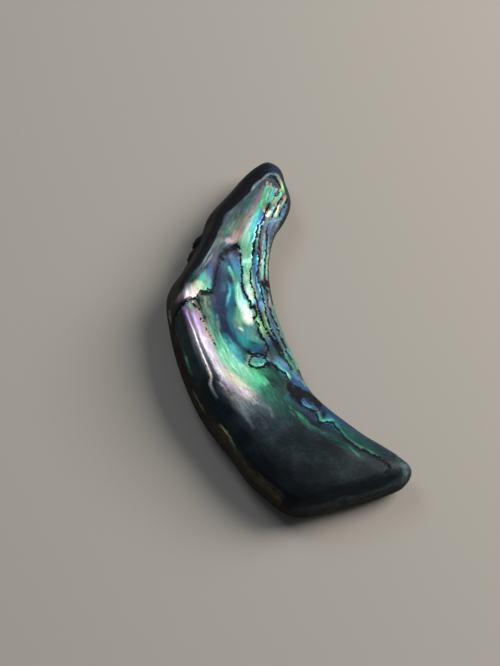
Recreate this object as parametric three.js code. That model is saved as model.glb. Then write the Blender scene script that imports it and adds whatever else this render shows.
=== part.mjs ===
// Abalone shell piece: one crescent cut from the thick side of a shell, tumbled and polished.
// Millimetres, +Z up. It lies with its coloured face up, the blunt tip towards +Y and the
// pointed tip towards -Y and +X. The origin is on the surface that it rests on, under the
// middle of its footprint.
import * as THREE from 'three';

// Plan outline, from the blunt tip down the full outer side to the pointed tip.
const OUTER_SIDE = [
  [-2.1, 30.0], [-4.8, 28.1], [-8.4, 23.0], [-10.8, 19.4], [-11.75, 16.1], [-14.2, 9.5],
  [-16.3, 5.0], [-15.8, -0.8], [-14.0, -8.0], [-11.1, -15.2], [-6.9, -21.6], [-5.1, -24.5], [-2.9, -26.9],
  [0.9, -29.7], [7.4, -28.3], [13.0, -26.3], [15.3, -25.1],
];
// And back up the hollow inner side.
const INNER_SIDE = [
  [16.35, -23.0], [14.7, -21.0], [10.1, -17.7], [5.0, -13.1], [3.1, -10.5], [1.95, -7.4], [-0.1, -1.5],
  [-1.5, 4.4], [-2.0, 10.4], [-1.2, 16.0], [0.5, 19.6], [1.3, 22.6], [0.6, 26.2], [-0.2, 29.0],
];

// Face heights over the floor, across the piece from the outer edge (0) to the inner edge (1),
// at stations along it from the blunt tip (0) to the pointed tip (1).
const FACE_ACROSS = [0, 0.2, 0.5, 0.75, 1];
const FACE_STATIONS = [
  { along: 0.0, heights: [4.6, 4.8, 4.8, 4.7, 4.5] },
  { along: 0.1, heights: [5.1, 6.0, 5.9, 5.5, 4.9] },
  { along: 0.22, heights: [5.4, 6.7, 6.5, 6.1, 5.1] },
  { along: 0.34, heights: [5.6, 7.3, 7.0, 6.5, 5.3] },
  { along: 0.45, heights: [5.5, 8.0, 7.4, 6.7, 5.3] },
  { along: 0.56, heights: [5.3, 8.0, 7.8, 6.9, 5.3] },
  { along: 0.7, heights: [5.2, 7.2, 7.8, 7.0, 5.2] },
  { along: 0.85, heights: [5.0, 6.3, 6.8, 6.3, 4.8] },
  { along: 1.0, heights: [4.2, 4.4, 4.5, 4.4, 4.0] },
];

// The hollow beside the inner edge, a long bowl that follows the crescent.
const POOL = {
  route: [[-6.4, 10.2], [-7.2, 6.2], [-7.1, 2.4], [-6.0, -1.2], [-4.8, -3.8]],
  halfWidth: 2.9,
  depth: 1.9,
};

// Ledges where the polishing cut down through layer after layer towards the inner edge: the
// share across that each follows, at stations along, how far it steps down, and where it runs.
const LEDGES = [
  {
    along: [0, 0.2, 0.29, 0.34, 0.42, 0.55, 0.7, 0.8, 1],
    across: [0.66, 0.62, 0.64, 0.72, 0.74, 0.79, 0.86, 0.84, 0.8],
    drop: 0.35,
    from: 0.24,
    to: 0.84,
  },
  {
    along: [0, 0.18, 0.28, 0.36, 0.5, 0.58, 0.7, 1],
    across: [0.76, 0.74, 0.8, 0.84, 0.86, 0.9, 0.92, 0.9],
    drop: 0.3,
    from: 0.08,
    to: 0.62,
  },
  {
    along: [0, 0.22, 0.3, 0.4, 0.58, 0.7, 1],
    across: [0.86, 0.82, 0.88, 0.905, 0.945, 0.965, 0.96],
    drop: 0.3,
    from: 0.12,
    to: 0.66,
  },
];
const LEDGE_HALF_WIDTH = 0.01;
const LEDGE_FADE = 0.06;

// The fold between the coloured face and the wall of the outer side, drawn in as a groove.
const FOLD = { across: 0.045, halfWidth: 0.024, depth: 0.35, from: 0.37, to: 0.76 };

// The rim, all the way round from the blunt tip by the outer side: height of the widest line,
// then how far in the face and the back are rounded, and how square each rounding is.
const RIM_STATIONS = [
  { at: 0.0, edge: 2.7, faceRun: 2.4, faceSquare: 2.2, backRun: 2.2, backSquare: 2.0 },
  { at: 0.08, edge: 3.0, faceRun: 3.0, faceSquare: 2.0, backRun: 2.6, backSquare: 2.0 },
  { at: 0.18, edge: 3.1, faceRun: 2.8, faceSquare: 1.8, backRun: 2.8, backSquare: 2.0 },
  { at: 0.26, edge: 2.7, faceRun: 1.8, faceSquare: 1.6, backRun: 2.6, backSquare: 2.0 },
  { at: 0.36, edge: 2.6, faceRun: 1.2, faceSquare: 1.6, backRun: 2.6, backSquare: 2.0 },
  { at: 0.48, edge: 2.5, faceRun: 1.4, faceSquare: 1.8, backRun: 2.4, backSquare: 2.0 },
  { at: 0.57, edge: 2.4, faceRun: 1.8, faceSquare: 2.0, backRun: 2.2, backSquare: 2.0 },
  { at: 0.68, edge: 3.1, faceRun: 1.6, faceSquare: 2.0, backRun: 2.4, backSquare: 2.0 },
  { at: 0.8, edge: 3.1, faceRun: 1.4, faceSquare: 2.0, backRun: 2.4, backSquare: 2.0 },
  { at: 0.94, edge: 2.8, faceRun: 1.8, faceSquare: 2.0, backRun: 2.2, backSquare: 2.0 },
];

// The back is arched as the shell was, and worn flat at the three places where it rests.
const ARCH_RISE = 2.1;
const WORN_DEPTH = 0.35;
const FEET = [
  { x: -3.6, y: 24.4, reach: 6.0 },
  { x: -11.0, y: -2.0, reach: 7.4 },
  { x: 10.4, y: -23.6, reach: 6.2 },
];

// Lumps of the shell's rough outer crust, left on the wall of the outer side.
const CRUST_LUMPS = [
  { x: -12.3, y: 14.9, z: 3.8, size: 1.2, height: 1.05 },
  { x: -13.3, y: 12.5, z: 3.6, size: 1.1, height: 0.5 },
];

// Mesh fineness: steps along the piece, in each strip of its face, and over its back.
const STEPS_ALONG = 110;
const TIP_CROWDING = 0.86;
const STEPS_WALL = 4;
const STEPS_FIELD = 8;
const STEPS_TERRACE = 2;
const STEPS_BRINK = 4;
const STEPS_BACK = 14;
const OUTLINE_SAMPLES = 360;
const NEARNESS_POWER = 8;
const SMALLEST_GAP = 0.02;

// Smooth curve value through stations on a line, by cubic Hermite spans.
function through(positions, values, at) {
  const last = positions.length - 1;
  let k = 0;
  while (k < last - 1 && at > positions[k + 1]) {
    k += 1;
  }
  const slope = (i) => {
    const a = Math.max(i - 1, 0);
    const b = Math.min(i + 1, last);
    return (values[b] - values[a]) / (positions[b] - positions[a]);
  };
  const span = positions[k + 1] - positions[k];
  const t = THREE.MathUtils.clamp((at - positions[k]) / span, 0, 1);
  const t2 = t * t;
  const t3 = t2 * t;
  return (2 * t3 - 3 * t2 + 1) * values[k] + (t3 - 2 * t2 + t) * span * slope(k)
    + (3 * t2 - 2 * t3) * values[k + 1] + (t3 - t2) * span * slope(k + 1);
}

// Full strength between two places along the piece, fading out beyond them.
function runsBetween(along, from, to) {
  return THREE.MathUtils.smoothstep(along, from, from + LEDGE_FADE)
    * (1 - THREE.MathUtils.smoothstep(along, to - LEDGE_FADE, to));
}

function plane(points, closed) {
  const lifted = points.map(([x, y]) => new THREE.Vector3(x, y, 0));
  return new THREE.CatmullRomCurve3(lifted, closed, 'centripetal');
}

const outline = plane([...OUTER_SIDE, ...INNER_SIDE], true);
const outlinePoints = outline.getSpacedPoints(OUTLINE_SAMPLES).slice(0, OUTLINE_SAMPLES);

function pointedShare() {
  const tip = new THREE.Vector3(...INNER_SIDE[0], 0);
  const gaps = outlinePoints.map((point) => point.distanceTo(tip));
  return gaps.indexOf(Math.min(...gaps)) / OUTLINE_SAMPLES;
}

const pointedAt = pointedShare();

function rimSettings() {
  const keys = Object.keys(RIM_STATIONS[0]).filter((key) => key !== 'at');
  const last = RIM_STATIONS.at(-1);
  const wrapped = [
    { ...last, at: last.at - 1 },
    ...RIM_STATIONS,
    { ...RIM_STATIONS[0], at: 1 },
    { ...RIM_STATIONS[1], at: RIM_STATIONS[1].at + 1 },
  ];
  const positions = wrapped.map((station) => station.at);
  return outlinePoints.map((_, i) => Object.fromEntries(keys.map((key) => (
    [key, through(positions, wrapped.map((station) => station[key]), i / OUTLINE_SAMPLES)]))));
}

const rim = rimSettings();

// The rim's settings at a place in plan, blended over the nearby outline so that they stay
// smooth where two sides meet.
function nearRim(x, y) {
  const blend = Object.fromEntries(Object.keys(rim[0]).map((key) => [key, 0]));
  let total = 0;
  outlinePoints.forEach((point, i) => {
    const gap = Math.max(Math.hypot(point.x - x, point.y - y), SMALLEST_GAP);
    const weight = gap ** -NEARNESS_POWER;
    total += weight;
    for (const key of Object.keys(blend)) {
      blend[key] += weight * rim[i][key];
    }
  });
  for (const key of Object.keys(blend)) {
    blend[key] /= total;
  }
  return blend;
}

function rimDistance(x, y) {
  let nearest = Infinity;
  for (let i = 0; i < OUTLINE_SAMPLES; i += 1) {
    const a = outlinePoints[i];
    const b = outlinePoints[(i + 1) % OUTLINE_SAMPLES];
    const reach = ((x - a.x) * (b.x - a.x) + (y - a.y) * (b.y - a.y)) / a.distanceToSquared(b);
    const t = THREE.MathUtils.clamp(reach, 0, 1);
    const gap = Math.hypot(a.x + t * (b.x - a.x) - x, a.y + t * (b.y - a.y) - y);
    nearest = Math.min(nearest, gap);
  }
  return nearest;
}

// How much of its full height a rounded rim has reached, a given share of the way in.
function rounding(share, square) {
  if (share >= 1) {
    return 1;
  }
  return (1 - (1 - share) ** square) ** (1 / square);
}

const poolRoute = plane(POOL.route, false).getSpacedPoints(60);

function poolDepth(x, y) {
  const gap = Math.min(...poolRoute.map((point) => Math.hypot(point.x - x, point.y - y)));
  return POOL.depth * Math.exp(-((gap / POOL.halfWidth) ** 2));
}

function ledgeDepth(along, across) {
  return LEDGES.reduce((sum, ledge) => {
    const line = through(ledge.along, ledge.across, along);
    const t = (across - line + LEDGE_HALF_WIDTH) / (2 * LEDGE_HALF_WIDTH);
    const passed = THREE.MathUtils.clamp(t, 0, 1);
    return sum + ledge.drop * passed * runsBetween(along, ledge.from, ledge.to);
  }, 0);
}

function foldDepth(along, across) {
  const gap = Math.abs(across - FOLD.across) / FOLD.halfWidth;
  return FOLD.depth * Math.max(0, 1 - gap) * runsBetween(along, FOLD.from, FOLD.to);
}

function faceHeight(along, across, x, y) {
  const positions = FACE_STATIONS.map((station) => station.along);
  const heights = FACE_ACROSS.map((_, i) => (
    through(positions, FACE_STATIONS.map((station) => station.heights[i]), along)));
  return through(FACE_ACROSS, heights, across) - poolDepth(x, y) - ledgeDepth(along, across);
}

function backHeight(x, y) {
  const support = FEET.reduce((sum, foot) => (
    sum + Math.exp(-(((x - foot.x) ** 2 + (y - foot.y) ** 2) / foot.reach ** 2))), 0);
  return Math.max(0, ARCH_RISE * (1 - support) - WORN_DEPTH);
}

// Moves a wall point outwards where a crust lump sits.
function withCrust(point, outward) {
  const push = CRUST_LUMPS.reduce((sum, lump) => {
    const gap = Math.hypot(point.x - lump.x, point.y - lump.y, point.z - lump.z);
    return sum + lump.height * Math.exp(-((gap / lump.size) ** 2));
  }, 0);
  return point.addScaledVector(outward, push);
}

// Shares across the face at which a section has its points: crowded at both rims, with one on
// the fold and a pair on each ledge.
function faceShares(along) {
  const lines = LEDGES.map((ledge) => through(ledge.along, ledge.across, along));
  const shares = [];
  for (let i = 0; i < STEPS_WALL; i += 1) {
    shares.push(FOLD.across * (1 - Math.cos((Math.PI / 2) * (i / STEPS_WALL))));
  }
  const fieldEnd = lines[0] - LEDGE_HALF_WIDTH;
  for (let i = 0; i < STEPS_FIELD; i += 1) {
    shares.push(FOLD.across + (fieldEnd - FOLD.across) * (i / STEPS_FIELD));
  }
  lines.forEach((line, k) => {
    shares.push(line - LEDGE_HALF_WIDTH);
    const start = line + LEDGE_HALF_WIDTH;
    if (k < lines.length - 1) {
      const end = lines[k + 1] - LEDGE_HALF_WIDTH;
      for (let i = 0; i < STEPS_TERRACE; i += 1) {
        shares.push(start + (end - start) * (i / STEPS_TERRACE));
      }
      return;
    }
    for (let i = 0; i < STEPS_BRINK; i += 1) {
      shares.push(start + (1 - start) * Math.sin((Math.PI / 2) * (i / STEPS_BRINK)));
    }
  });
  return shares;
}

function section(along) {
  const outerEnd = outline.getPointAt(along * pointedAt);
  const innerEnd = outline.getPointAt(1 - along * (1 - pointedAt));
  const outward = outerEnd.clone().sub(innerEnd).normalize();
  const place = (across, onFace) => {
    const point = outerEnd.clone().lerp(innerEnd, across);
    const settings = nearRim(point.x, point.y);
    const gap = rimDistance(point.x, point.y);
    if (onFace) {
      const rise = faceHeight(along, across, point.x, point.y) - settings.edge;
      const share = rounding(gap / settings.faceRun, settings.faceSquare);
      point.z = settings.edge + rise * share - share * foldDepth(along, across);
    } else {
      const rise = backHeight(point.x, point.y) - settings.edge;
      point.z = settings.edge + rise * rounding(gap / settings.backRun, settings.backSquare);
    }
    return withCrust(point, outward);
  };
  const ring = faceShares(along).map((across) => place(across, true));
  for (let i = 0; i < STEPS_BACK; i += 1) {
    ring.push(place((1 + Math.cos(Math.PI * (i / STEPS_BACK))) / 2, false));
  }
  return ring;
}

function tipPoint(at) {
  const point = outline.getPointAt(at);
  point.z = nearRim(point.x, point.y).edge;
  return point;
}

// Rings from tip to tip, closed by a fan at each tip.
function shellGeometry() {
  const rings = [];
  for (let i = 1; i < STEPS_ALONG; i += 1) {
    const t = i / STEPS_ALONG;
    rings.push(section(t - TIP_CROWDING * Math.sin(2 * Math.PI * t) / (2 * Math.PI)));
  }
  const around = rings[0].length;
  const points = [tipPoint(0), ...rings.flat(), tipPoint(pointedAt)];
  const faces = [];
  const corner = (ring, k) => 1 + ring * around + (k % around);
  for (let k = 0; k < around; k += 1) {
    faces.push(0, corner(0, k), corner(0, k + 1));
    faces.push(points.length - 1, corner(rings.length - 1, k + 1), corner(rings.length - 1, k));
    for (let ring = 0; ring < rings.length - 1; ring += 1) {
      faces.push(corner(ring, k), corner(ring + 1, k), corner(ring + 1, k + 1));
      faces.push(corner(ring, k), corner(ring + 1, k + 1), corner(ring, k + 1));
    }
  }
  const geometry = new THREE.BufferGeometry().setFromPoints(points);
  geometry.setIndex(faces);
  geometry.computeBoundingBox();
  const middle = geometry.boundingBox.getCenter(new THREE.Vector3());
  geometry.translate(-middle.x, -middle.y, -geometry.boundingBox.min.z);
  geometry.computeVertexNormals();
  return geometry;
}

const nacre = new THREE.MeshStandardMaterial({ color: 0x2f6f78, roughness: 0.22, metalness: 0.3 });
const shellPiece = new THREE.Mesh(shellGeometry(), nacre);
shellPiece.name = 'shell_piece';

const part = new THREE.Group();
part.add(shellPiece);

export default part;
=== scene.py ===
"""Looks of a polished crescent of abalone shell: its nacre, dark layers, rims and arched back."""

import math

import bpy
import numpy as np
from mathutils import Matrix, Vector


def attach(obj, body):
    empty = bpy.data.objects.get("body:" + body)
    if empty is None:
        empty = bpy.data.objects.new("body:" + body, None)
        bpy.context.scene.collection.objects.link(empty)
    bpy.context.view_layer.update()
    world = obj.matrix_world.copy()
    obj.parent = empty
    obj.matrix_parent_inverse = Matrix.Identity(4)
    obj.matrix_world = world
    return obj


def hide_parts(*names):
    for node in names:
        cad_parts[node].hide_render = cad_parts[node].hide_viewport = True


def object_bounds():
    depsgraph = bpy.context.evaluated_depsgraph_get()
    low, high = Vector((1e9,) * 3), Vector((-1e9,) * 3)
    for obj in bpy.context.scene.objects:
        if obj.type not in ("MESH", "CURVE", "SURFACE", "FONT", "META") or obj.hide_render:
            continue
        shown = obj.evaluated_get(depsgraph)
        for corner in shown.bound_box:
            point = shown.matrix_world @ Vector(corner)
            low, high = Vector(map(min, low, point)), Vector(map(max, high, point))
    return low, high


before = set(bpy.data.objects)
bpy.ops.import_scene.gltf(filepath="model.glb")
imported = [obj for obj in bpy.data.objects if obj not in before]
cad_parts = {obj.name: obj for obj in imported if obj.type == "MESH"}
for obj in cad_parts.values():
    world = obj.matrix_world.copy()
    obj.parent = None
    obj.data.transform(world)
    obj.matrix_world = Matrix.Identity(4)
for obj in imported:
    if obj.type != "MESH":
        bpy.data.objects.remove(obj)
cad_low, cad_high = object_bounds()

MM = 0.001

# Camera, as the photograph was taken: how high it looks from, how far off it is, the size of a
# pixel at the shell, and the place on the shell's frame that the picture's middle shows.
PHOTO_WIDTH = 500
PHOTO_HEIGHT = 666
VIEW_ELEVATION = math.radians(54)
VIEW_DISTANCE_MM = 220.0
MM_PER_PIXEL = 0.14
FOCAL_PIXELS = VIEW_DISTANCE_MM / MM_PER_PIXEL
AIM_MM = (-4.66, 0.45, 0.8)
BACKWARD = np.array([0, -math.cos(VIEW_ELEVATION), math.sin(VIEW_ELEVATION)])
CAMERA_MM = np.array(AIM_MM) + VIEW_DISTANCE_MM * BACKWARD
SENSOR_MM = 36.0

# Floor, room and lights, which face the shell: name, place in metres, watts, colour.
FLOOR_REACH = 1.5
FLOOR_COLOUR = "96928c"
ROOM_COLOUR = "c8d0d8"
ROOM_STRENGTH = 0.19
LIGHT_SIZE = 0.3
LIGHTS = [
    ("window", (0.34, 0.11, 0.27), 3.5, "fffaf2"),
    ("far_wall", (-0.26, 0.32, 0.49), 1.15, "eef4fa"),
]

# The crescent in plan, in millimetres: blunt tip, down the full outer side, pointed tip, and
# back up the hollow inner side. It repeats the outline of the solid.
OUTER_SIDE = [
    (-2.1, 30.0), (-4.8, 28.1), (-8.4, 23.0), (-10.8, 19.4), (-11.75, 16.1), (-14.2, 9.5),
    (-16.3, 5.0), (-15.8, -0.8), (-14.0, -8.0), (-11.1, -15.2), (-6.9, -21.6), (-5.1, -24.5),
    (-2.9, -26.9), (0.9, -29.7), (7.4, -28.3), (13.0, -26.3), (15.3, -25.1),
]
INNER_SIDE = [
    (16.35, -23.0), (14.7, -21.0), (10.1, -17.7), (5.0, -13.1), (3.1, -10.5), (1.95, -7.4),
    (-0.1, -1.5), (-1.5, 4.4), (-2.0, 10.4), (-1.2, 16.0), (0.5, 19.6), (1.3, 22.6), (0.6, 26.2),
    (-0.2, 29.0),
]

# Face heights in millimetres: across from the outer edge (0) to the inner edge (1), at
# stations along the piece from the blunt tip (0) to the pointed tip (1).
FACE_ACROSS = (0, 0.2, 0.5, 0.75, 1)
FACE_STATIONS = {
    0.0: (4.6, 4.8, 4.8, 4.7, 4.5),
    0.1: (5.1, 6.0, 5.9, 5.5, 4.9),
    0.22: (5.4, 6.7, 6.5, 6.1, 5.1),
    0.34: (5.6, 7.3, 7.0, 6.5, 5.3),
    0.45: (5.5, 8.0, 7.4, 6.7, 5.3),
    0.56: (5.3, 8.0, 7.8, 6.9, 5.3),
    0.7: (5.2, 7.2, 7.8, 7.0, 5.2),
    0.85: (5.0, 6.3, 6.8, 6.3, 4.8),
    1.0: (4.2, 4.4, 4.5, 4.4, 4.0),
}
POOL_ROUTE = [(-6.4, 10.2), (-7.2, 6.2), (-7.1, 2.4), (-6.0, -1.2), (-4.8, -3.8)]
POOL_HALF_WIDTH = 2.9
POOL_DEPTH = 1.9

# Rim, all the way round from the blunt tip by the outer side: where it is, the height of its
# widest line, how far in the face is rounded and how squarely, and how far in the back is.
RIM_STATIONS = [
    (0.0, 2.7, 2.4, 2.2, 2.2), (0.08, 3.0, 3.0, 2.0, 2.6), (0.18, 3.1, 2.8, 1.8, 2.8),
    (0.26, 2.7, 1.8, 1.6, 2.6), (0.36, 2.6, 1.2, 1.6, 2.6), (0.48, 2.5, 1.4, 1.8, 2.4),
    (0.57, 2.4, 1.8, 2.0, 2.2), (0.68, 3.1, 1.6, 2.0, 2.4), (0.8, 3.1, 1.4, 2.0, 2.4),
    (0.94, 2.8, 1.8, 2.0, 2.2),
]
BACK_SQUARE = 2.0

# The back rises in an arch between three worn feet, each with its place and reach. The lumps
# of crust on the outer side have their place, reach and how far they stand out.
ARCH_RISE = 2.1
WORN_DEPTH = 0.35
FEET = [(-3.6, 24.4, 6.0), (-11.0, -2.0, 7.4), (10.4, -23.6, 6.2)]
CRUST_LUMPS = [(-12.2, 14.7, 3.7, 1.25, 0.75), (-13.2, 12.4, 3.6, 1.15, 0.5)]

# Mesh fineness. The face gets most of the points, because its marks are carried by them.
STEPS_ALONG = 620
TIP_CROWDING = 0.86
WALL_SHARE = 0.06
BRINK_SHARE = 0.7
STEPS_WALL = 14
STEPS_FIELD = 58
STEPS_BRINK = 44
STEPS_BACK = 42
SPAN_POINTS = 6
OUTLINE_SAMPLES = 360
FINE_SAMPLES = 2880
NEARNESS_POWER = 8
SMALLEST_GAP = 0.02
POINTS_AT_ONCE = 4000

# The middle of the crescent is about this long, and its face this wide, in millimetres.
FLOW_ALONG = 74
FLOW_ACROSS = 14

# Fine relief of the face: heights and depths in millimetres, and lengths in the photograph's
# pixels. A pair is where a change starts and where it is complete, but the crease's fades are
# how far it runs out at its two ends. The fold fades over a share of its length. A pit has its
# place, reach and depth.
WANDER_PERIOD = 2.1
WANDER_REACH = 1.6
STEP_STARTS = np.array([-4, 14])
STEP_ENDS = np.array([-50, -22])
STEP_SLOPE = (-1.4, 1.8)
GROOVE_DEPTH = 0.07
GROOVE_EDGE = 1.2
CREASE_HEIGHT = 0.16
CREASE_EDGE = (0.2, 1.5)
CREASE_FADES = (8, 14)
FOLD_DEPTH = 0.32
FOLD_HALF_WIDTH = 2.6
FOLD_FADES_FROM = 0.35
FOLD_FADE = 0.75
RIPPLE_HEIGHT = 0.16
PITS = [((216.9, 433.7), 2.6, 0.45), ((230.8, 452.3), 2.6, 0.4), ((183, 386.6), 1.4, 0.2)]

# How the painted bands break up: streaks run along a band and flecks lie all over it. Sizes
# and reaches are in pixels, and the rest are shares.
STREAK_SIZE = (11, 1.3)
STREAK_THINNING = 0.7
LEAST_BREAK = 0.3
FLECK_SIZE = (2.6, 1.1)
FLECK_REACH = 1.1
FLECK_SHIFT = 2.2
FLECK_SHADE = 1.1
JAG_REACH = 1.3
# How squarely a point faces the camera where the paint of the hidden parts takes over, and
# the streaks there: length and width in millimetres, and share.
GRAZING = (-0.08, 0.06)
HIDDEN_STREAKS = [(5, 0.4, 0.5), (1.6, 0.25, 0.3), (0.7, 0.5, 0.2)]

# Finish. Fibres, grains, soft clouds, the waves of the back and the ragged edges of the dark
# layers have their sizes in millimetres. The layers of the rims are drawn out along the piece,
# three in two millimetres of height. Most of a noise lies between the middle values.
FIBRE_LENGTH_MM = 2
FIBRE_WIDTH_MM = 0.25
GRAIN_MM = 0.3
CLOUD_MM = 2.5
BACK_WAVES_MM = 8
JAG_MM = 0.45
RIM_LAYER_SCALE = (0.08, 0.0, 1.5)
MIDDLE_NOISE = (0.3, 0.7)
PEARLY_METAL = 0.32
BUFFED_ROUGHNESS = (0.22, 0.36)
SATIN_ROUGHNESS = 0.5
RIM_ROUGHNESS = 0.65
DARK_ROUGHNESS = 0.7

# Colours of abalone nacre and its dark protein layers, as sRGB.
INK = "0a0d13"
NIGHT = "10151b"
COAL = "0e1a1e"
GRAPHITE = "243238"
DUSK = "1c3035"
ASH = "3b484f"
SLATE = "4f5f69"
STONE = "6c7c80"
SMOKE = "6f8791"
MIST = "a4b0b4"
NAVY = "172e4c"
INDIGO = "1e2844"
MIDNIGHT = "142236"
ABYSS = "0b1834"
DENIM = "2a4870"
STEEL = "48688c"
BLUE = "4a80c8"
AZURE = "58b0e4"
SKY = "4a98c0"
CYAN = "5ce0de"
AQUA = "84f0d8"
PETROL = "1f5f70"
TEAL = "2a8088"
LAGOON = "58b0ac"
PINE = "18403a"
BOTTLE = "245c4c"
SEA = "3c9a7a"
JADE = "74cca2"
GREEN = "54d69c"
MINT = "a4f4d0"
LIME = "a8e09c"
FOAM = "b4ffe0"
PISTACHIO = "d4f8d8"
CREAM = "f4f0dc"
PEARL = "fff4f2"
ROSE = "ecd8e6"
ORCHID = "c09ae0"
LILAC = "ccb8e0"
VIOLET = "7480cc"
MAUVE = "b0a0a8"
HEATHER = "807480"
PLUM = "4a3c58"
TAN = "c8a888"
SAND = "dcd0a0"
DRAB = "8a8a78"
SAGE = "709c8c"
OLIVE = "62806c"
LOAM = "463e30"
BARK = "2c281e"
UMBER = "1e1812"
RUST = "5c3c3c"
HIDDEN_BRIGHT = (INK, ASH, STEEL, SLATE, LAGOON, STONE, SAGE, ASH)
HIDDEN_DEEP = (INK, COAL, NIGHT, PINE, NAVY, COAL, PETROL, NIGHT)
BACK_BANDS = [
    (0.28, INK), (0.34, PETROL), (0.4, PINE), (0.43, COAL), (0.46, STEEL), (0.49, SLATE),
    (0.52, BOTTLE), (0.56, COAL), (0.59, PETROL), (0.63, SEA), (0.68, PINE), (0.75, UMBER),
]
RIM_LAYERS = [
    (0.3, UMBER), (0.4, BARK), (0.44, INK), (0.48, UMBER), (0.5, LOAM), (0.515, UMBER),
    (0.55, BARK), (0.58, COAL), (0.6, INK), (0.7, BARK),
]

# Soft bands of colour on the face, laid one over the other. Each has the photograph's pixels
# that its middle runs through, its colours from end to end, its half width in pixels at its
# two ends, how soft its edge is, how strong it is, and how much it breaks up into fibres.
# Besides the nacre's own colours, some bands are painted highlights, sheen and shade, as
# noted at each.
# The body's coal and graphite are partly dark teal nacre and partly painted shade, where the
# polished nacre reflects only dark surroundings. Its lighter slate upper end and the pale smoke,
# mauve and mist streaks below the ridge are a painted soft sheen.
BODY = [
    ([(250, 402), (268, 421), (292, 441), (322, 458), (354, 470)],
     [SLATE, GRAPHITE, COAL, COAL, COAL], (15, 22), 0.6, 0.85, 0.6),
    ([(300, 438), (330, 454), (362, 466)], [COAL, COAL, COAL], (14, 9), 0.7, 0.7, 0.4),
    ([(275, 488), (305, 494), (340, 491), (370, 485), (392, 476)],
     [NIGHT, INK, NIGHT, NIGHT, COAL], (10, 6), 0.6, 0.9, 0.2),
    ([(218, 386), (228, 402), (242, 420), (262, 442)], [ASH, COAL, NIGHT, NIGHT],
     (4, 8), 0.7, 0.8, 0.3),
    ([(242, 408), (247, 418), (254, 428)], [SMOKE, STONE, ASH], (2.6, 2), 0.7, 0.7, 0.7),
    ([(262, 404), (270, 410), (272, 417)], [MAUVE, MIST, STONE], (2.5, 1.5), 0.7, 0.6, 0.8),
]
ARM = [
    ([(264, 184), (246, 205), (227, 232), (213, 254), (203, 268)], [ASH, ASH, ASH, ASH, COAL],
     (12, 15), 0.3, 1.0, 0.1),
    ([(255, 189), (250, 200), (243, 210), (235, 220), (228, 231)],
     [ASH, BOTTLE, PINE, OLIVE, SAGE], (3.0, 4.0), 0.9, 0.65, 0.5),
    ([(249, 192), (240, 203), (231, 213), (224, 224), (217, 238), (209, 252)],
     [SLATE, ASH, SLATE, SLATE, SLATE, ASH], (2.2, 3.6), 0.6, 0.7, 0.3),
    ([(259, 190), (252, 206), (243, 220), (234, 232)], [SLATE, STONE, DRAB, DRAB],
     (2.2, 4), 0.7, 0.6, 0.5),
    ([(264, 187), (260, 197), (256, 207), (250, 217), (245, 228), (240, 238)],
     [HEATHER, HEATHER, HEATHER, MAUVE, MAUVE, MAUVE], (1.8, 4.6), 0.7, 0.85, 0.5),
    ([(225, 229), (221, 239), (223, 247), (229, 247)], [BOTTLE, OLIVE, BOTTLE, SAGE],
     (3.6, 2.6), 0.9, 0.7, 0.5),
    ([(228, 241), (234, 240), (238, 235)], [MAUVE, ROSE, TAN], (3.2, 4.0), 0.8, 0.8, 0.7),
    # the pale smoke lines along the rim's inner edge are a painted highlight on that edge
    ([(224, 226), (217, 236), (212, 246), (206, 258), (200, 267), (194, 274)],
     [SLATE, SLATE, SMOKE, SMOKE, SMOKE, ASH], (1.0, 1.2), 0.6, 0.75, 0.2),
    ([(215, 249), (208, 261), (202, 269), (197, 275)], [ASH, SMOKE, SMOKE, ASH],
     (0.8, 0.9), 0.6, 0.65, 0.2),
    ([(218, 250), (214, 262), (213, 272)], [ASH, PLUM, MIDNIGHT], (3.5, 3), 0.5, 0.75, 0.3),
    ([(220, 234), (224, 238)], [RUST, RUST], (1.1, 1.1), 0.7, 0.7, 0.4),
]
WINDOW = [
    ([(212, 266), (209.5, 276), (208, 287)], [DENIM, STEEL, LAGOON], (3.6, 4), 0.5, 0.95, 0.2),
    ([(205, 271), (206, 280), (205.5, 288)], [STEEL, SAGE, JADE], (3.0, 3.6), 0.7, 0.85, 0.3),
    ([(203, 275), (200, 283), (197, 290)], [LAGOON, JADE, PISTACHIO], (3.4, 4.5), 0.6, 0.85, 0.2),
    ([(190, 286), (184, 292), (177, 297), (171, 303)], [MIST, MAUVE, HEATHER, BARK],
     (4, 6), 0.5, 0.95, 0.3),
    # the cream and pearl bands here are partly pale nacre and partly a painted highlight
    ([(199, 284), (194, 291), (189, 296)], [PISTACHIO, CREAM, PEARL], (4.5, 5), 0.55, 1.0, 0.1),
    ([(196, 290), (192, 294), (188, 297)], [CREAM, PEARL, ROSE], (3.5, 3.5), 0.6, 1.0, 0.0),
    ([(199, 271), (192, 279), (184, 287), (176, 293)], [ASH, PINE, ASH, BARK],
     (2.4, 2.6), 0.6, 0.85, 0.2),
]
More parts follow.
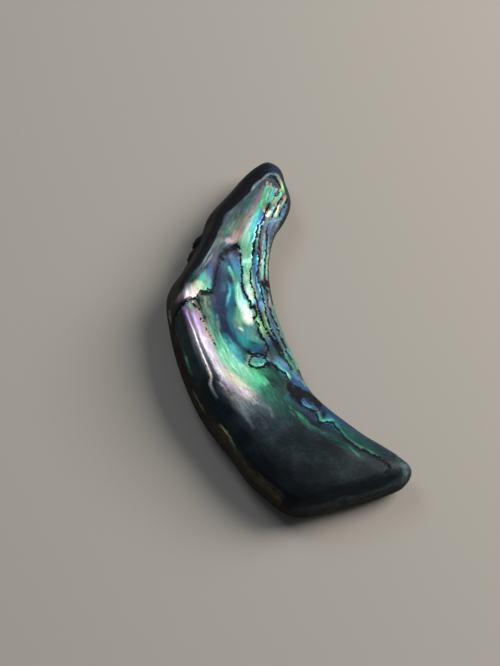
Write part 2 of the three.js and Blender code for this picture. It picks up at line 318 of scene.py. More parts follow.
POOL = [
    # the navy to near-black of the pool's left wall is partly blue nacre and partly painted shade,
    # where the wall reflects only dark surroundings
    ([(230, 252), (225, 272), (223, 290), (223, 310), (228, 328), (240, 345)],
     [NAVY, NAVY, NAVY, MIDNIGHT, ABYSS, ABYSS], (12, 12), 0.25, 1.0, 0.1),
    ([(220, 256), (217.5, 268), (216.5, 282), (215, 296), (217, 312)],
     [ABYSS, ABYSS, ABYSS, ABYSS, ABYSS], (3.0, 4), 0.6, 0.95, 0.3),
    ([(224, 258), (226, 266), (226, 278), (224, 290)], [NAVY, PETROL, DUSK, PETROL],
     (3.2, 2.6), 0.7, 0.8, 0.4),
    ([(233, 256), (237, 266), (239, 278), (240, 290)], [STEEL, SKY, LAGOON, LAGOON],
     (4.6, 4), 0.5, 0.85, 0.3),
    ([(229, 267), (232, 273), (235, 281), (235.5, 288)], [LAGOON, JADE, SAGE, JADE],
     (1.4, 1.8), 0.6, 0.85, 0.3),
    ([(233, 286), (232, 298), (231.5, 310), (233, 322), (238, 334), (245, 343)],
     [TEAL, PETROL, PETROL, PETROL, PETROL, TEAL], (4.0, 5), 0.6, 0.9, 0.2),
    ([(228, 281), (230, 287), (230, 292), (228, 299), (226.8, 307)],
     [DENIM, SKY, CYAN, SKY, DENIM], (1.0, 1.1), 0.6, 0.95, 0.1),
    ([(237, 284), (239, 293), (241, 301), (245, 308)], [JADE, MINT, MINT, PISTACHIO],
     (2.6, 5), 0.6, 0.95, 0.25),
    ([(239, 308), (239, 318), (240, 326)], [JADE, JADE, SAGE], (3.4, 4.2), 0.6, 0.8, 0.3),
    ([(248, 320), (252, 328), (257, 337)], [SAGE, LAGOON, SAGE], (5, 3.6), 0.7, 0.75, 0.7),
    # the pale pistachio and cream patch on the pool's far wall is partly pale nacre and partly a
    # painted highlight
    ([(245, 303), (248, 311), (248, 320)], [MINT, PISTACHIO, PISTACHIO],
     (5.0, 5.6), 0.8, 0.8, 0.3),
    ([(247, 309), (248.5, 313), (248, 317)], [CREAM, CREAM, CREAM], (4.4, 5.0), 1.0, 0.9, 0.2),
    ([(233.5, 320), (236, 327), (240, 334)], [SAGE, STONE, STONE], (1.8, 2.2), 0.9, 0.35, 0.3),
    ([(244, 330), (250, 336), (258, 341), (263, 344)], [LAGOON, LAGOON, LAGOON, LAGOON],
     (3.6, 3), 0.6, 0.8, 0.5),
    ([(241, 338), (249, 345), (258, 347), (264, 346)], [TEAL, TEAL, PETROL, PETROL],
     (4.0, 3.6), 0.6, 0.9, 0.3),
    ([(246, 351), (254, 352), (263, 351), (266, 346)], [NAVY, DENIM, NAVY, NAVY],
     (2.4, 2.2), 0.6, 0.95, 0.1),
    ([(221, 314), (225, 329), (233, 341), (242, 351)], [ABYSS, ABYSS, NAVY, NAVY],
     (4, 3.4), 0.6, 0.9, 0.2),
    ([(232, 252), (238, 254), (240, 262)], [PLUM, PLUM, STEEL], (2.6, 1.6), 0.6, 0.8, 0.3),
    ([(241, 281), (242, 289), (246, 299)], [STEEL, VIOLET, BLUE], (1.2, 1.2), 0.6, 0.85, 0.1),
    # a painted glint in the pool
    ([(239.5, 327.5), (241, 329), (243, 330.6)], [MINT, PISTACHIO, MINT],
     (0.9, 0.9), 1.0, 0.9, 0.0),
    ([(246, 300), (248.5, 306), (250, 310), (253, 312)], [AQUA, AQUA, AQUA, SKY],
     (1.5, 1.3), 0.6, 0.85, 0.1),
]
COLUMN = [
    ([(204, 294), (206, 304), (208, 314), (211, 324), (215, 335), (221, 346), (228, 358)],
     [PINE, OLIVE, BOTTLE, OLIVE, SEA, JADE, MINT], (5.0, 6.5), 0.4, 1.0, 0.8),
    ([(213, 296), (214, 306), (216, 316), (219, 328)], [PLUM, INDIGO, NAVY, PETROL],
     (2.6, 2.6), 0.7, 0.85, 0.8),
    ([(205, 297), (206, 306), (208, 312)], [SAGE, TAN, SAGE], (1.4, 1.6), 0.7, 0.6, 0.9),
    ([(209.5, 315), (211, 322), (212, 329)], [SAGE, SEA, LAGOON], (2.4, 2.6), 0.8, 0.7, 0.9),
    ([(216, 315), (217, 327), (219, 338)], [PETROL, PINE, SAGE], (1.8, 1.8), 0.6, 0.6, 0.4),
    ([(220, 338), (224, 346), (229, 354), (235, 362), (243, 369)], [SEA, JADE, JADE, MINT, MINT],
     (2.4, 5.0), 0.7, 0.9, 0.6),
    ([(228, 360), (235, 367), (243, 374)], [MINT, AQUA, MINT], (2.6, 3.4), 0.7, 0.9, 0.4),
    ([(225, 336), (230, 343), (236, 350), (243, 357)], [TEAL, LAGOON, LAGOON, TEAL],
     (3.0, 3.4), 0.7, 0.8, 0.8),
    ([(231, 347), (236, 356), (241, 363)], [CYAN, SKY, LAGOON], (2.8, 2.8), 0.8, 0.8, 0.7),
    ([(219, 331), (224, 342), (231, 353), (239, 364)], [TEAL, LAGOON, CYAN, AQUA],
     (0.9, 1.2), 0.8, 0.8, 0.6),
    ([(216, 322), (219, 333), (225, 345), (233, 357)], [SAGE, JADE, AQUA, PISTACHIO],
     (0.7, 1.1), 0.8, 0.8, 0.6),
    ([(214.4, 336), (218, 343), (222.4, 351), (226, 359)], [SAGE, PINE, PINE, PETROL],
     (0.5, 0.7), 0.7, 0.95, 0.3),
    ([(210, 312), (212.5, 318), (213.5, 324)], [SEA, LAGOON, SEA], (1.6, 1.8), 0.9, 0.6, 0.9),
    ([(217, 314), (218, 322), (220, 330)], [PLUM, MAUVE, PLUM], (1.0, 1.0), 0.8, 0.5, 1.0),
    ([(207, 299), (210, 311), (213, 324), (218, 337)], [PINE, SAGE, PINE, PINE],
     (0.9, 1.0), 0.9, 0.75, 1.0),
    ([(211, 302), (212.6, 312), (215, 323), (219, 333)], [BOTTLE, NAVY, BOTTLE, PETROL],
     (0.8, 1.0), 0.9, 0.8, 1.0),
    ([(213, 330), (217, 340), (223, 351)], [BOTTLE, SEA, LAGOON], (0.8, 0.9), 0.9, 0.7, 1.0),
    ([(236, 351), (242, 359), (249, 366)], [LAGOON, TEAL, LAGOON], (1.2, 1.2), 0.8, 0.7, 0.7),
]
# Along the ridge's crest the rose, cream and pearl bands are partly the nacre's pink and cream and
# partly a painted highlight. The stone, mist, lilac and slate streaks at its lower end are the
# painted highlight fading out.
RIDGE_AND_HIGHLIGHT = [
    ([(206, 330), (214, 344), (224, 360), (238, 375), (252, 388)], [SAGE, JADE, MINT, MINT, JADE],
     (4.6, 9), 0.5, 1.0, 0.4),
    ([(191, 303), (197, 316), (203, 330), (208, 344)], [SAGE, MAUVE, MAUVE, ROSE],
     (4.5, 6), 0.5, 1.0, 0.3),
    ([(196, 309), (200.5, 320), (205.5, 330), (212, 340)], [TAN, DRAB, TAN, TAN],
     (1.6, 2.0), 0.7, 0.7, 0.4),
    ([(191, 308), (195.4, 317), (200.4, 328.5), (205.4, 341)], [HEATHER, ORCHID, LILAC, ROSE],
     (2.4, 3.4), 0.6, 0.9, 0.2),
    ([(219, 380), (230, 390), (241, 401), (250, 410)], [STONE, MAUVE, MIST, SLATE],
     (3.5, 7.5), 0.8, 0.9, 1.0),
    ([(205, 340), (211.6, 354), (219.6, 367), (229, 377), (240, 385), (249, 392), (257, 399)],
     [ROSE, ROSE, ROSE, CREAM, CREAM, PEARL, SLATE], (4.2, 5.8), 0.5, 1.0, 0.35),
    ([(236, 376), (246, 385), (256, 394), (264, 403), (270, 413)],
     [CREAM, PISTACHIO, STONE, SLATE, ASH], (3.6, 3.6), 0.8, 0.9, 0.9),
    ([(243, 389), (249, 394), (255, 401), (262, 412)], [LILAC, PEARL, SLATE, ASH],
     (2.4, 3.0), 0.8, 0.9, 0.9),
    ([(208, 352), (214, 364), (219, 374), (231, 385), (243, 393)],
     [MIST, MIST, LILAC, LILAC, ROSE], (1.6, 3.4), 0.6, 0.6, 0.6),
    ([(232, 405), (239, 414)], [HEATHER, PLUM], (0.9, 0.7), 0.9, 0.6, 0.8),
]
GREENS = [
    ([(246, 372), (256, 382), (268, 394), (282, 408), (296, 420), (312, 433)],
     [JADE, SEA, BOTTLE, PINE, COAL, COAL], (8.5, 7.5), 0.6, 0.95, 0.6),
    ([(240, 366), (249, 374), (257, 382)], [MINT, MINT, GREEN], (4.2, 4.6), 0.7, 0.85, 0.5),
    ([(254, 370), (258, 376), (265, 383)], [GREEN, GREEN, JADE], (3.6, 3.6), 0.6, 0.85, 0.7),
    ([(262, 371), (270, 374), (278, 379), (283, 385)], [SEA, BOTTLE, BOTTLE, PINE],
     (4.0, 4.0), 0.7, 0.85, 0.8),
    ([(272, 366), (280, 376), (286, 386), (288, 394)], [PINE, PINE, DUSK, PINE],
     (3.0, 4), 0.7, 0.85, 0.5),
    ([(276, 390), (284, 400), (292, 410), (301, 417), (312, 427), (326, 433)],
     [BOTTLE, PINE, BOTTLE, SEA, PINE, BOTTLE], (3.0, 2.2), 0.8, 0.65, 1.0),
    ([(286, 396), (292, 403), (300, 408), (308, 413), (318, 421), (330, 428), (340, 436)],
     [PETROL, PINE, NAVY, NAVY, NAVY, NAVY, MIDNIGHT], (2.0, 2.2), 0.7, 0.85, 0.4),
    ([(330, 435), (345, 446), (358, 455), (373, 464), (383, 470)], [PINE, PINE, PINE, DUSK, COAL],
     (4.0, 3), 0.7, 0.8, 0.8),
    ([(350, 447), (355, 452), (360, 456)], [SEA, GREEN, SEA], (0.9, 0.7), 0.9, 0.4, 1.0),
]
OUTER_STRIP = [
    ([(268, 344), (274, 358), (281, 366), (290, 375), (300, 386), (310, 394), (320, 404),
     (334, 414)], [ASH, SLATE, TEAL, DENIM, DENIM, NAVY, NAVY, MIDNIGHT], (5, 5.5), 0.4, 1.0, 0.5),
    ([(270, 347), (271, 352), (276, 354)], [DENIM, PINE, ASH], (2.6, 2.8), 0.6, 0.8, 0.4),
    ([(276, 357), (284, 364), (291, 371), (298, 379)], [STEEL, VIOLET, STEEL, VIOLET],
     (1.6, 1.6), 0.6, 0.5, 0.3),
    ([(276, 363), (281, 368), (287, 374)], [LAGOON, LAGOON, JADE], (1.8, 1.4), 0.6, 0.8, 0.2),
    ([(285, 372), (288, 375), (290, 378)], [JADE, MINT, JADE], (1.2, 1.2), 0.6, 0.9, 0.2),
    ([(330, 417), (346, 430), (362, 440), (378, 450), (392, 460), (397, 470)],
     [PETROL, PINE, PINE, PINE, COAL, COAL], (6, 6), 0.4, 1.0, 0.4),
    ([(326, 409), (342, 421), (358, 432), (374, 442), (388, 451), (400, 459)],
     [NAVY, NAVY, MIDNIGHT, MIDNIGHT, MIDNIGHT, COAL], (2.8, 3.4), 0.6, 0.9, 0.2),
    ([(303, 400), (307, 406), (313, 408), (319, 412)], [DENIM, SKY, PETROL, DENIM],
     (2.4, 2.2), 0.7, 0.95, 0.4),
    ([(318, 414), (321, 420), (326, 421), (333, 420)], [TEAL, SEA, LAGOON, TEAL],
     (2.2, 1.8), 0.7, 0.9, 0.3),
    ([(336, 424), (342, 432), (350, 440), (360, 446.5), (366, 449), (376, 455), (385, 461)],
     [TEAL, SEA, TEAL, SEA, BOTTLE, SEA, BOTTLE], (1.0, 0.9), 0.9, 0.85, 0.7),
    ([(298, 377), (302, 381.5), (306, 386.5)], [TEAL, JADE, TEAL], (0.6, 0.6), 0.8, 0.7, 0.1),
    ([(397, 458), (403, 463), (405, 468)], [PINE, PINE, PINE], (2.2, 1.8), 0.7, 0.7, 0.3),
    ([(250, 360), (257, 360.5), (265, 363)], [SAGE, TEAL, LAGOON], (6, 5), 0.3, 1.0, 0.4),
    ([(250, 363.5), (256, 365), (261, 364)], [JADE, JADE, SAGE], (1.5, 1.2), 0.7, 0.9, 0.3),
]
BRIGHT = [
    ([(269.5, 187), (266, 196), (262.6, 204), (258.5, 211), (253, 220), (248, 231), (244, 242),
     (243.5, 252)], [MINT, JADE, GREEN, JADE, MINT, FOAM, FOAM, FOAM], (2.4, 4), 0.5, 1.0, 0.4),
    ([(257.4, 212), (252, 221), (247, 231), (243, 240)], [MAUVE, ROSE, ROSE, CREAM],
     (0.8, 1.1), 0.7, 0.95, 0.2),
    ([(270, 190), (267, 200), (264, 206), (262, 210)], [LAGOON, JADE, OLIVE, DRAB],
     (3.2, 2), 0.5, 0.9, 0.4),
    ([(274, 189), (272, 194), (270.5, 201)], [SKY, CYAN, LAGOON], (2.0, 2.2), 0.6, 1.0, 0.15),
    ([(267, 184), (263.6, 194), (260.5, 204)], [MINT, GREEN, JADE], (0.6, 0.8), 0.7, 0.9, 0.4),
    ([(270.4, 185.5), (267.5, 194), (264, 204)], [GREEN, MINT, SEA], (0.6, 0.8), 0.7, 0.9, 0.4),
    ([(273.6, 187.6), (270, 196), (267, 203)], [AQUA, MINT, SEA], (0.6, 0.8), 0.7, 0.9, 0.4),
    ([(268.8, 187), (265.6, 196), (262.2, 206)], [BOTTLE, SEA, OLIVE], (0.4, 0.5), 0.8, 0.85, 0.5),
    ([(272, 188), (269, 196), (265, 206)], [BOTTLE, PETROL, OLIVE], (0.4, 0.5), 0.8, 0.85, 0.5),
    ([(267.6, 182), (266.6, 184.6)], [ROSE, TAN], (0.5, 0.5), 0.7, 0.85, 0.2),
    ([(271.2, 183.6), (270.2, 186.2)], [ROSE, TAN], (0.5, 0.5), 0.7, 0.85, 0.2),
    ([(274.6, 185.8), (273.6, 188.2)], [TAN, ROSE], (0.5, 0.5), 0.7, 0.85, 0.2),
    ([(263, 210), (265, 211)], [TAN, SAND], (1.4, 1.2), 0.6, 0.9, 0.2),
    ([(260, 211), (256, 219), (252, 228), (249, 238), (249, 248)], [CYAN, CYAN, CYAN, AQUA, AQUA],
     (2.4, 3), 0.5, 1.0, 0.2),
    ([(262, 211), (260, 218), (256.5, 227), (254, 236), (252.4, 245)],
     [BLUE, BLUE, AZURE, AZURE, CYAN], (1.7, 1.5), 0.5, 1.0, 0.1),
    ([(263, 215), (261, 221), (259, 226)], [VIOLET, VIOLET, BLUE], (0.9, 0.9), 0.5, 0.9, 0.1),
    ([(246, 244), (247, 256), (247, 268), (248.5, 280), (251, 291), (254, 300)],
     [MINT, MINT, MINT, MINT, PISTACHIO, PISTACHIO], (5.5, 4.5), 0.35, 1.0, 0.25),
    ([(249, 246), (250, 256), (249.5, 266)], [AQUA, MINT, AQUA], (1.4, 1.4), 0.6, 0.7, 0.3),
    ([(248, 233), (245.4, 243), (245.4, 253)], [MINT, MINT, MINT], (3.0, 4.0), 0.6, 0.8, 0.1),
    ([(246, 276), (248, 279)], [CREAM, PISTACHIO], (1.8, 1.8), 0.7, 0.85, 0.2),
    ([(253, 299), (256, 302), (259, 306), (261, 311)], [FOAM, AZURE, VIOLET, STEEL],
     (2.6, 1.5), 0.5, 1.0, 0.1),
    ([(258, 299), (260.5, 302)], [VIOLET, VIOLET], (1.5, 1.4), 0.5, 0.9, 0.1),
    ([(255, 310), (257, 318), (262, 327), (266, 335), (270, 343)], [SAGE, JADE, LIME, SAGE, DENIM],
     (3, 3), 0.5, 1.0, 0.4),
]
SLOPE = [
    ([(282, 200), (273, 222), (267, 246), (265, 270), (268, 296), (277, 326), (294, 358)],
     [SLATE, SLATE, ASH, ASH, ASH, ASH, ASH], (9, 6), 0.2, 1.0, 0.4),
    ([(263, 222), (259, 231), (256, 242), (255, 254), (254, 266), (253.5, 276), (256, 286),
     (259, 296), (262, 306)], [SKY, LAGOON, SAGE, STEEL, BLUE, VIOLET, STEEL, SKY, VIOLET],
     (1.6, 2.0), 0.5, 1.0, 0.8),
    ([(257.4, 256), (256.6, 266), (256.6, 276), (259, 287), (262.6, 297)],
     [CYAN, AZURE, AZURE, CYAN, MINT], (0.9, 1.0), 0.5, 0.95, 0.3),
    ([(262, 306), (264, 314), (267, 322), (272, 332), (277, 341)],
     [LAGOON, DRAB, JADE, STONE, DENIM], (1.9, 1.9), 0.45, 1.0, 0.5),
    ([(267, 215), (266, 228), (263.5, 240), (262.6, 250), (262, 260), (261, 270), (261, 279)],
     [SAGE, STEEL, MIST, DRAB, STEEL, SAND, DRAB], (1.4, 1.5), 0.6, 0.9, 1.0),
    ([(264.5, 238), (265, 248), (264, 258), (262.8, 268), (262.5, 278)],
     [SKY, SKY, AQUA, CYAN, LAGOON], (0.9, 1.0), 0.5, 0.85, 0.3),
    ([(261.5, 288), (264, 300), (266.5, 310), (270, 322), (275, 333), (281, 345)],
     [SKY, LAGOON, STONE, STEEL, TEAL, BOTTLE], (1.6, 1.6), 0.5, 1.0, 0.8),
    ([(276, 212), (271, 226), (269, 238), (268.5, 250), (267.5, 262), (267, 272), (266.5, 279)],
     [SAGE, VIOLET, STEEL, STONE, MIST, PISTACHIO, HEATHER], (2.2, 1.4), 0.5, 0.9, 0.9),
    ([(284, 212), (279, 222), (275, 232), (272, 241), (270, 249)],
     [SKY, STONE, MIST, LAGOON, SAGE], (1.8, 1.2), 0.6, 0.9, 0.8),
    ([(266.5, 287), (268, 296), (270, 305), (273, 316), (277.5, 328), (283, 341), (290, 355)],
     [SAGE, MAUVE, STONE, SLATE, STONE, SLATE, TEAL], (1.5, 1.5), 0.5, 0.9, 0.8),
    ([(273, 306), (277, 319), (282, 333), (290, 350), (298, 369)], [JADE, SEA, SAGE, SEA, SAGE],
     (0.8, 1.0), 0.7, 0.8, 0.6),
    ([(279, 340), (288, 355), (297, 371), (304, 381)], [SLATE, STONE, SLATE, SLATE],
     (1.4, 1.1), 0.6, 0.8, 0.7),
    ([(283, 352), (290, 364), (298, 375)], [SEA, SEA, BOTTLE], (1.6, 1.3), 0.5, 0.9, 0.4),
]
TIP = [
    ([(264, 180), (270, 178.5), (275, 181), (279, 187)], [ASH, ASH, ASH, ASH],
     (2.0, 2.6), 0.5, 0.95, 0.1),
    ([(287.4, 203), (284.6, 210), (281, 216), (278, 219)], [STONE, STEEL, STONE, STEEL],
     (1.4, 1.8), 0.7, 0.8, 0.9),
    ([(270, 184), (271, 188)], [DRAB, TAN], (1.2, 1.0), 0.6, 0.7, 0.3),
    ([(276.5, 189), (275, 192)], [ROSE, TAN], (1.2, 0.9), 0.7, 0.9, 0.4),
    ([(281.5, 187), (280.5, 192), (276, 198), (272, 204)], [LIME, LIME, SAND, DRAB],
     (1.2, 1.3), 0.5, 0.95, 0.3),
    ([(281, 193.5), (278, 198.5), (275, 203.5), (272, 209), (270, 216)],
     [CYAN, JADE, OLIVE, JADE, SAGE], (1.1, 1.3), 0.6, 0.9, 0.9),
    ([(268.5, 211), (267, 215.5)], [SAND, PISTACHIO], (1.3, 1.4), 0.6, 0.9, 0.3),
    ([(285.4, 196), (284, 201), (280.6, 206.5)], [TAN, SAND, JADE], (1.1, 1.1), 0.7, 0.9, 0.7),
    ([(279, 205), (277.4, 210.5), (275.5, 216)], [TAN, SAND, LIME], (1.1, 1.2), 0.7, 0.9, 0.7),
    ([(282.4, 206), (281, 211), (279.4, 215)], [STEEL, SKY, STONE], (1.0, 1.0), 0.7, 0.8, 0.8),
    ([(285, 212.5), (283, 216)], [AZURE, SKY], (0.8, 0.8), 0.8, 0.8, 0.6),
    ([(268, 222), (274, 221), (281, 219)], [SKY, LAGOON, AQUA], (0.8, 0.7), 0.7, 0.8, 0.6),
    ([(266, 177.5), (259, 182), (254, 188)], [HEATHER, HEATHER, SLATE], (0.7, 0.6), 0.6, 0.7, 0.1),
    ([(283.5, 193), (282.4, 186), (280, 180), (276.5, 175), (272, 173.2), (266, 176), (260, 180.5),
     (254, 186), (251, 189)], [OLIVE, LIME, DRAB, SMOKE, SMOKE, SMOKE, SMOKE, SMOKE, MIST],
     (1.2, 1.3), 0.5, 0.85, 0.1),
]
# The flank's coal and dusk is painted shade on the slope turned from the light. The thin ash,
# plum, heather and mauve bands beside the crease are painted shade and sheen along it.
FLANK = [
    ([(180, 306), (183, 326), (189, 348), (197, 372), (207, 396), (222, 420), (240, 446),
     (262, 474)], [COAL, DUSK, DUSK, COAL, COAL, COAL, COAL, NIGHT], (6, 12), 0.35, 0.98, 0.2),
    ([(185, 312), (187, 324), (190, 334)], [PLUM, PLUM, NIGHT], (2.2, 2.2), 0.7, 0.5, 0.7),
    ([(186, 301.5), (187.5, 305), (192, 306)], [SAGE, SAGE, SAGE], (1.8, 1.8), 0.6, 0.8, 0.2),
    ([(190, 330), (195, 343), (201, 359), (206, 372), (209, 382)], [COAL, ASH, ASH, ASH, COAL],
     (1.3, 1.2), 0.6, 0.8, 0.2),
    ([(187, 308.6), (190.8, 318), (196, 330.2), (200, 341.3), (204.4, 351.3), (208.6, 361.3),
     (213.4, 371.3), (218, 380)], [HEATHER, HEATHER, HEATHER, SLATE, SLATE, ASH, ASH, COAL],
     (0.9, 1.9), 0.7, 0.92, 0.2),
    ([(187, 319), (191, 331.4), (195.6, 345), (200.4, 357.6), (204.4, 367)],
     [HEATHER, MAUVE, MIST, STONE, ASH], (1.7, 2.3), 1.0, 0.7, 0.25),
    ([(176, 331), (180, 342), (184, 352), (187, 363), (192, 375)],
     [BOTTLE, BOTTLE, SEA, JADE, SEA, BOTTLE], (0.7, 0.9), 0.6, 0.95, 0.2),
]
RIMS = [
    ([(290, 208), (289, 198), (286.6, 188), (283.4, 177), (277, 166)],
     [COAL, DUSK, DUSK, DUSK, DUSK], (2.4, 2.6), 0.2, 0.9, 0.0),
    ([(291, 207), (286.5, 217), (282, 225), (278.5, 232)], [NIGHT, NIGHT, COAL, SLATE],
     (2.2, 1.0), 0.3, 0.9, 0.0),
    # the near-black band along the arm's outer rim is partly the dark outer layer and partly
    # painted shade on the slope turned from the light
    ([(277, 162), (268, 162), (258, 166.5), (250, 174), (241, 184), (230, 196), (219, 206),
     (212, 219), (206, 233), (199, 246.5), (190, 260), (180, 273), (171, 285), (166, 292)],
     [MIDNIGHT, NIGHT, INK, INK, INK, INK, INK, INK, INK, INK, INK, INK, INK, UMBER],
     (11, 12), 0.12, 1.0, 0.0),
    # the bottom bevel's own bluish grey, lighter slate at the pointed tip's end as a painted soft
    # highlight
    ([(292, 512), (320, 508), (345, 502.5), (368, 497), (388, 489), (402, 482), (407, 474),
     (405, 466)], [GRAPHITE, ASH, GRAPHITE, ASH, ASH, ASH, ASH, SLATE], (4.5, 4.0), 0.6, 0.9, 0.8),
]
# The outer wall's own olive and brown, painted darker umber on the left where it lies in shade.
# The thin pale line low on the wall is partly a pale layer edge and partly a painted glint.
WALL = [
    ([(168, 294), (165, 308), (166.5, 324), (169, 335), (177, 356.5), (184, 379), (195, 411.5),
     (213, 429.5), (223.5, 444), (232.5, 459.5), (245, 474.5), (261.5, 488), (276, 501)],
     [BARK, BARK, BARK, UMBER, UMBER, UMBER, BARK, BARK, LOAM, LOAM, LOAM, LOAM, LOAM],
     (7.5, 8.5), 0.15, 1.0, 0.4),
    ([(169.3, 311), (170, 318), (172, 326)], [DRAB, MAUVE, BARK], (0.8, 0.7), 0.6, 0.7, 0.2),
    ([(192, 390), (197, 399), (202, 408), (206, 414)], [BARK, DRAB, DRAB, BARK],
     (0.8, 0.8), 0.6, 0.6, 0.2),
    ([(219, 424.5), (226, 431.5), (231, 440), (236, 450), (240, 457)],
     [DRAB, SAND, SAGE, BOTTLE, PINE], (0.9, 0.8), 0.6, 0.85, 0.2),
    ([(190.6, 300), (194.5, 303), (198, 307)], [RUST, RUST, RUST], (2.2, 1.6), 0.5, 0.85, 0.6),
    ([(192.4, 301.4), (194.2, 303.4)], [ROSE, MAUVE], (1.0, 0.8), 0.6, 0.9, 0.1),
]
CREASE = [
    (184.1, 306.7), (187.4, 316.8), (193, 329.7), (197.6, 343.6), (203, 357.4), (206.8, 366.4),
    (210.8, 376.3), (210.4, 383.3), (212.6, 390.4), (216.9, 397.9),
]
# A painted highlight runs along the crease: a thin pearl-white line over the crease's own orchid
# and lilac, in a softer painted sheen of orchid and mauve.
CREASE_HIGHLIGHT = (
    CREASE, [ORCHID, ORCHID, LILAC, PEARL, PEARL, PEARL, PEARL, PEARL, PEARL, MIST, STONE],
    (0.9, 0.85), 0.5, 1.0, 0.0)
CREASE_SHEEN = (
    CREASE, [ORCHID, ORCHID, ORCHID, MAUVE, MAUVE, MAUVE, MAUVE, MAUVE, HEATHER, HEATHER, ASH],
    (1.6, 1.3), 1.0, 0.75, 0.0)
BANDS = (BODY + ARM + WINDOW + POOL + COLUMN + RIDGE_AND_HIGHLIGHT + GREENS + OUTER_STRIP + BRIGHT + SLOPE
         + TIP + FLANK + RIMS + WALL + [CREASE_SHEEN, CREASE_HIGHLIGHT])

# Dark protein layers that the polishing has cut through, as pixels of the photograph.
MAIN_LAYER = [
    (236.5, 244.1), (239.4, 246.5), (240.2, 257.5), (241.3, 265.7), (241.8, 274), (242.2, 282.4),
    (243.2, 289.6), (245.6, 296), (249.9, 301.5), (249.4, 306.7), (251.3, 308.4), (253.7, 305.3),
    (255.6, 309.1), (256.6, 313.9), (253.7, 317.3), (255.6, 321.6), (258, 325.9), (259.4, 331.6),
    (261.8, 336.9), (266.1, 343.1), (268.1, 346.5), (267.1, 351.7), (264.7, 357.9), (268.1, 361.8),
    (272.7, 364), (276.7, 367.6), (280.8, 371.1), (285.9, 374.7), (287.4, 378.8), (291, 382.9),
    (295.6, 386.9), (301.2, 388.5), (305.8, 391.5), (310.4, 396.1), (315.5, 399.7), (321.6, 404.5),
    (320.1, 408.6), (316.5, 411.4), (317.6, 415.2), (318.1, 420.8), (320.6, 422.9), (325.7, 422.3),
    (331.8, 421.8), (335.9, 426.9), (341, 433.1), (347, 439.5), (353.8, 444.8), (359.5, 449.2),
    (363.3, 449.2), (372.3, 454.7), (380.9, 459.3), (386.7, 464.4), (389, 467.9), (386.1, 473.6),
]
SECOND_LAYER = [
    (267, 208), (265.6, 213), (264, 219), (261.5, 222.5), (258.2, 226), (256.2, 233), (256.8, 237),
    (254, 241), (253.2, 248), (252.3, 253.7), (252.8, 258.5), (252.3, 265.7), (250.8, 270.5),
    (250.6, 277.6), (251.8, 284.8), (253.7, 289.6), (255.6, 297.2), (258, 306.7), (260.4, 316.3),
    (263.3, 324.4), (268.1, 333.1), (272.8, 339.8), (275.7, 341.2), (279, 347),
]
THIRD_LAYER = [
    (262.3, 225), (259.8, 235), (258.8, 243), (258.4, 250), (259, 258.5), (258.4, 266), (257, 274),
    (258.8, 281), (260.6, 287), (263.3, 298), (265.7, 312), (268.1, 321.1), (272.8, 332.1),
    (276.7, 339.8), (282.4, 352.2), (287.2, 361.8), (292, 369),
]
FOURTH_LAYER = [
    (266.6, 227.4), (266.6, 238), (266.4, 250), (264.9, 262), (264.3, 272), (264.6, 280),
    (267, 290), (268.1, 304.4), (270.9, 313.9), (276.2, 324.4), (280, 335.5), (287.2, 352.2),
    (292, 360),
]
POOL_BRINK = [
    (219.8, 256), (218.6, 262), (216.6, 270), (215, 278), (213.6, 285), (211.6, 290.4),
    (207.2, 289.4), (204, 291.4), (200.1, 291.7), (197.9, 294.9), (195.8, 298.2), (191, 297.8),
    (187.1, 299),
]
FOLD_LINE = [
    (190, 298.4), (186, 301), (182, 305), (178.4, 310.2), (175, 316.5), (173.5, 323.5),
    (174.2, 333), (178.4, 345), (182, 356), (185, 368), (190.4, 380), (193.6, 391), (199.4, 402),
    (206, 413.5), (218, 425), (226, 434), (232.5, 446), (239.2, 456), (251.4, 470.4),
    (266.5, 483.5),
]
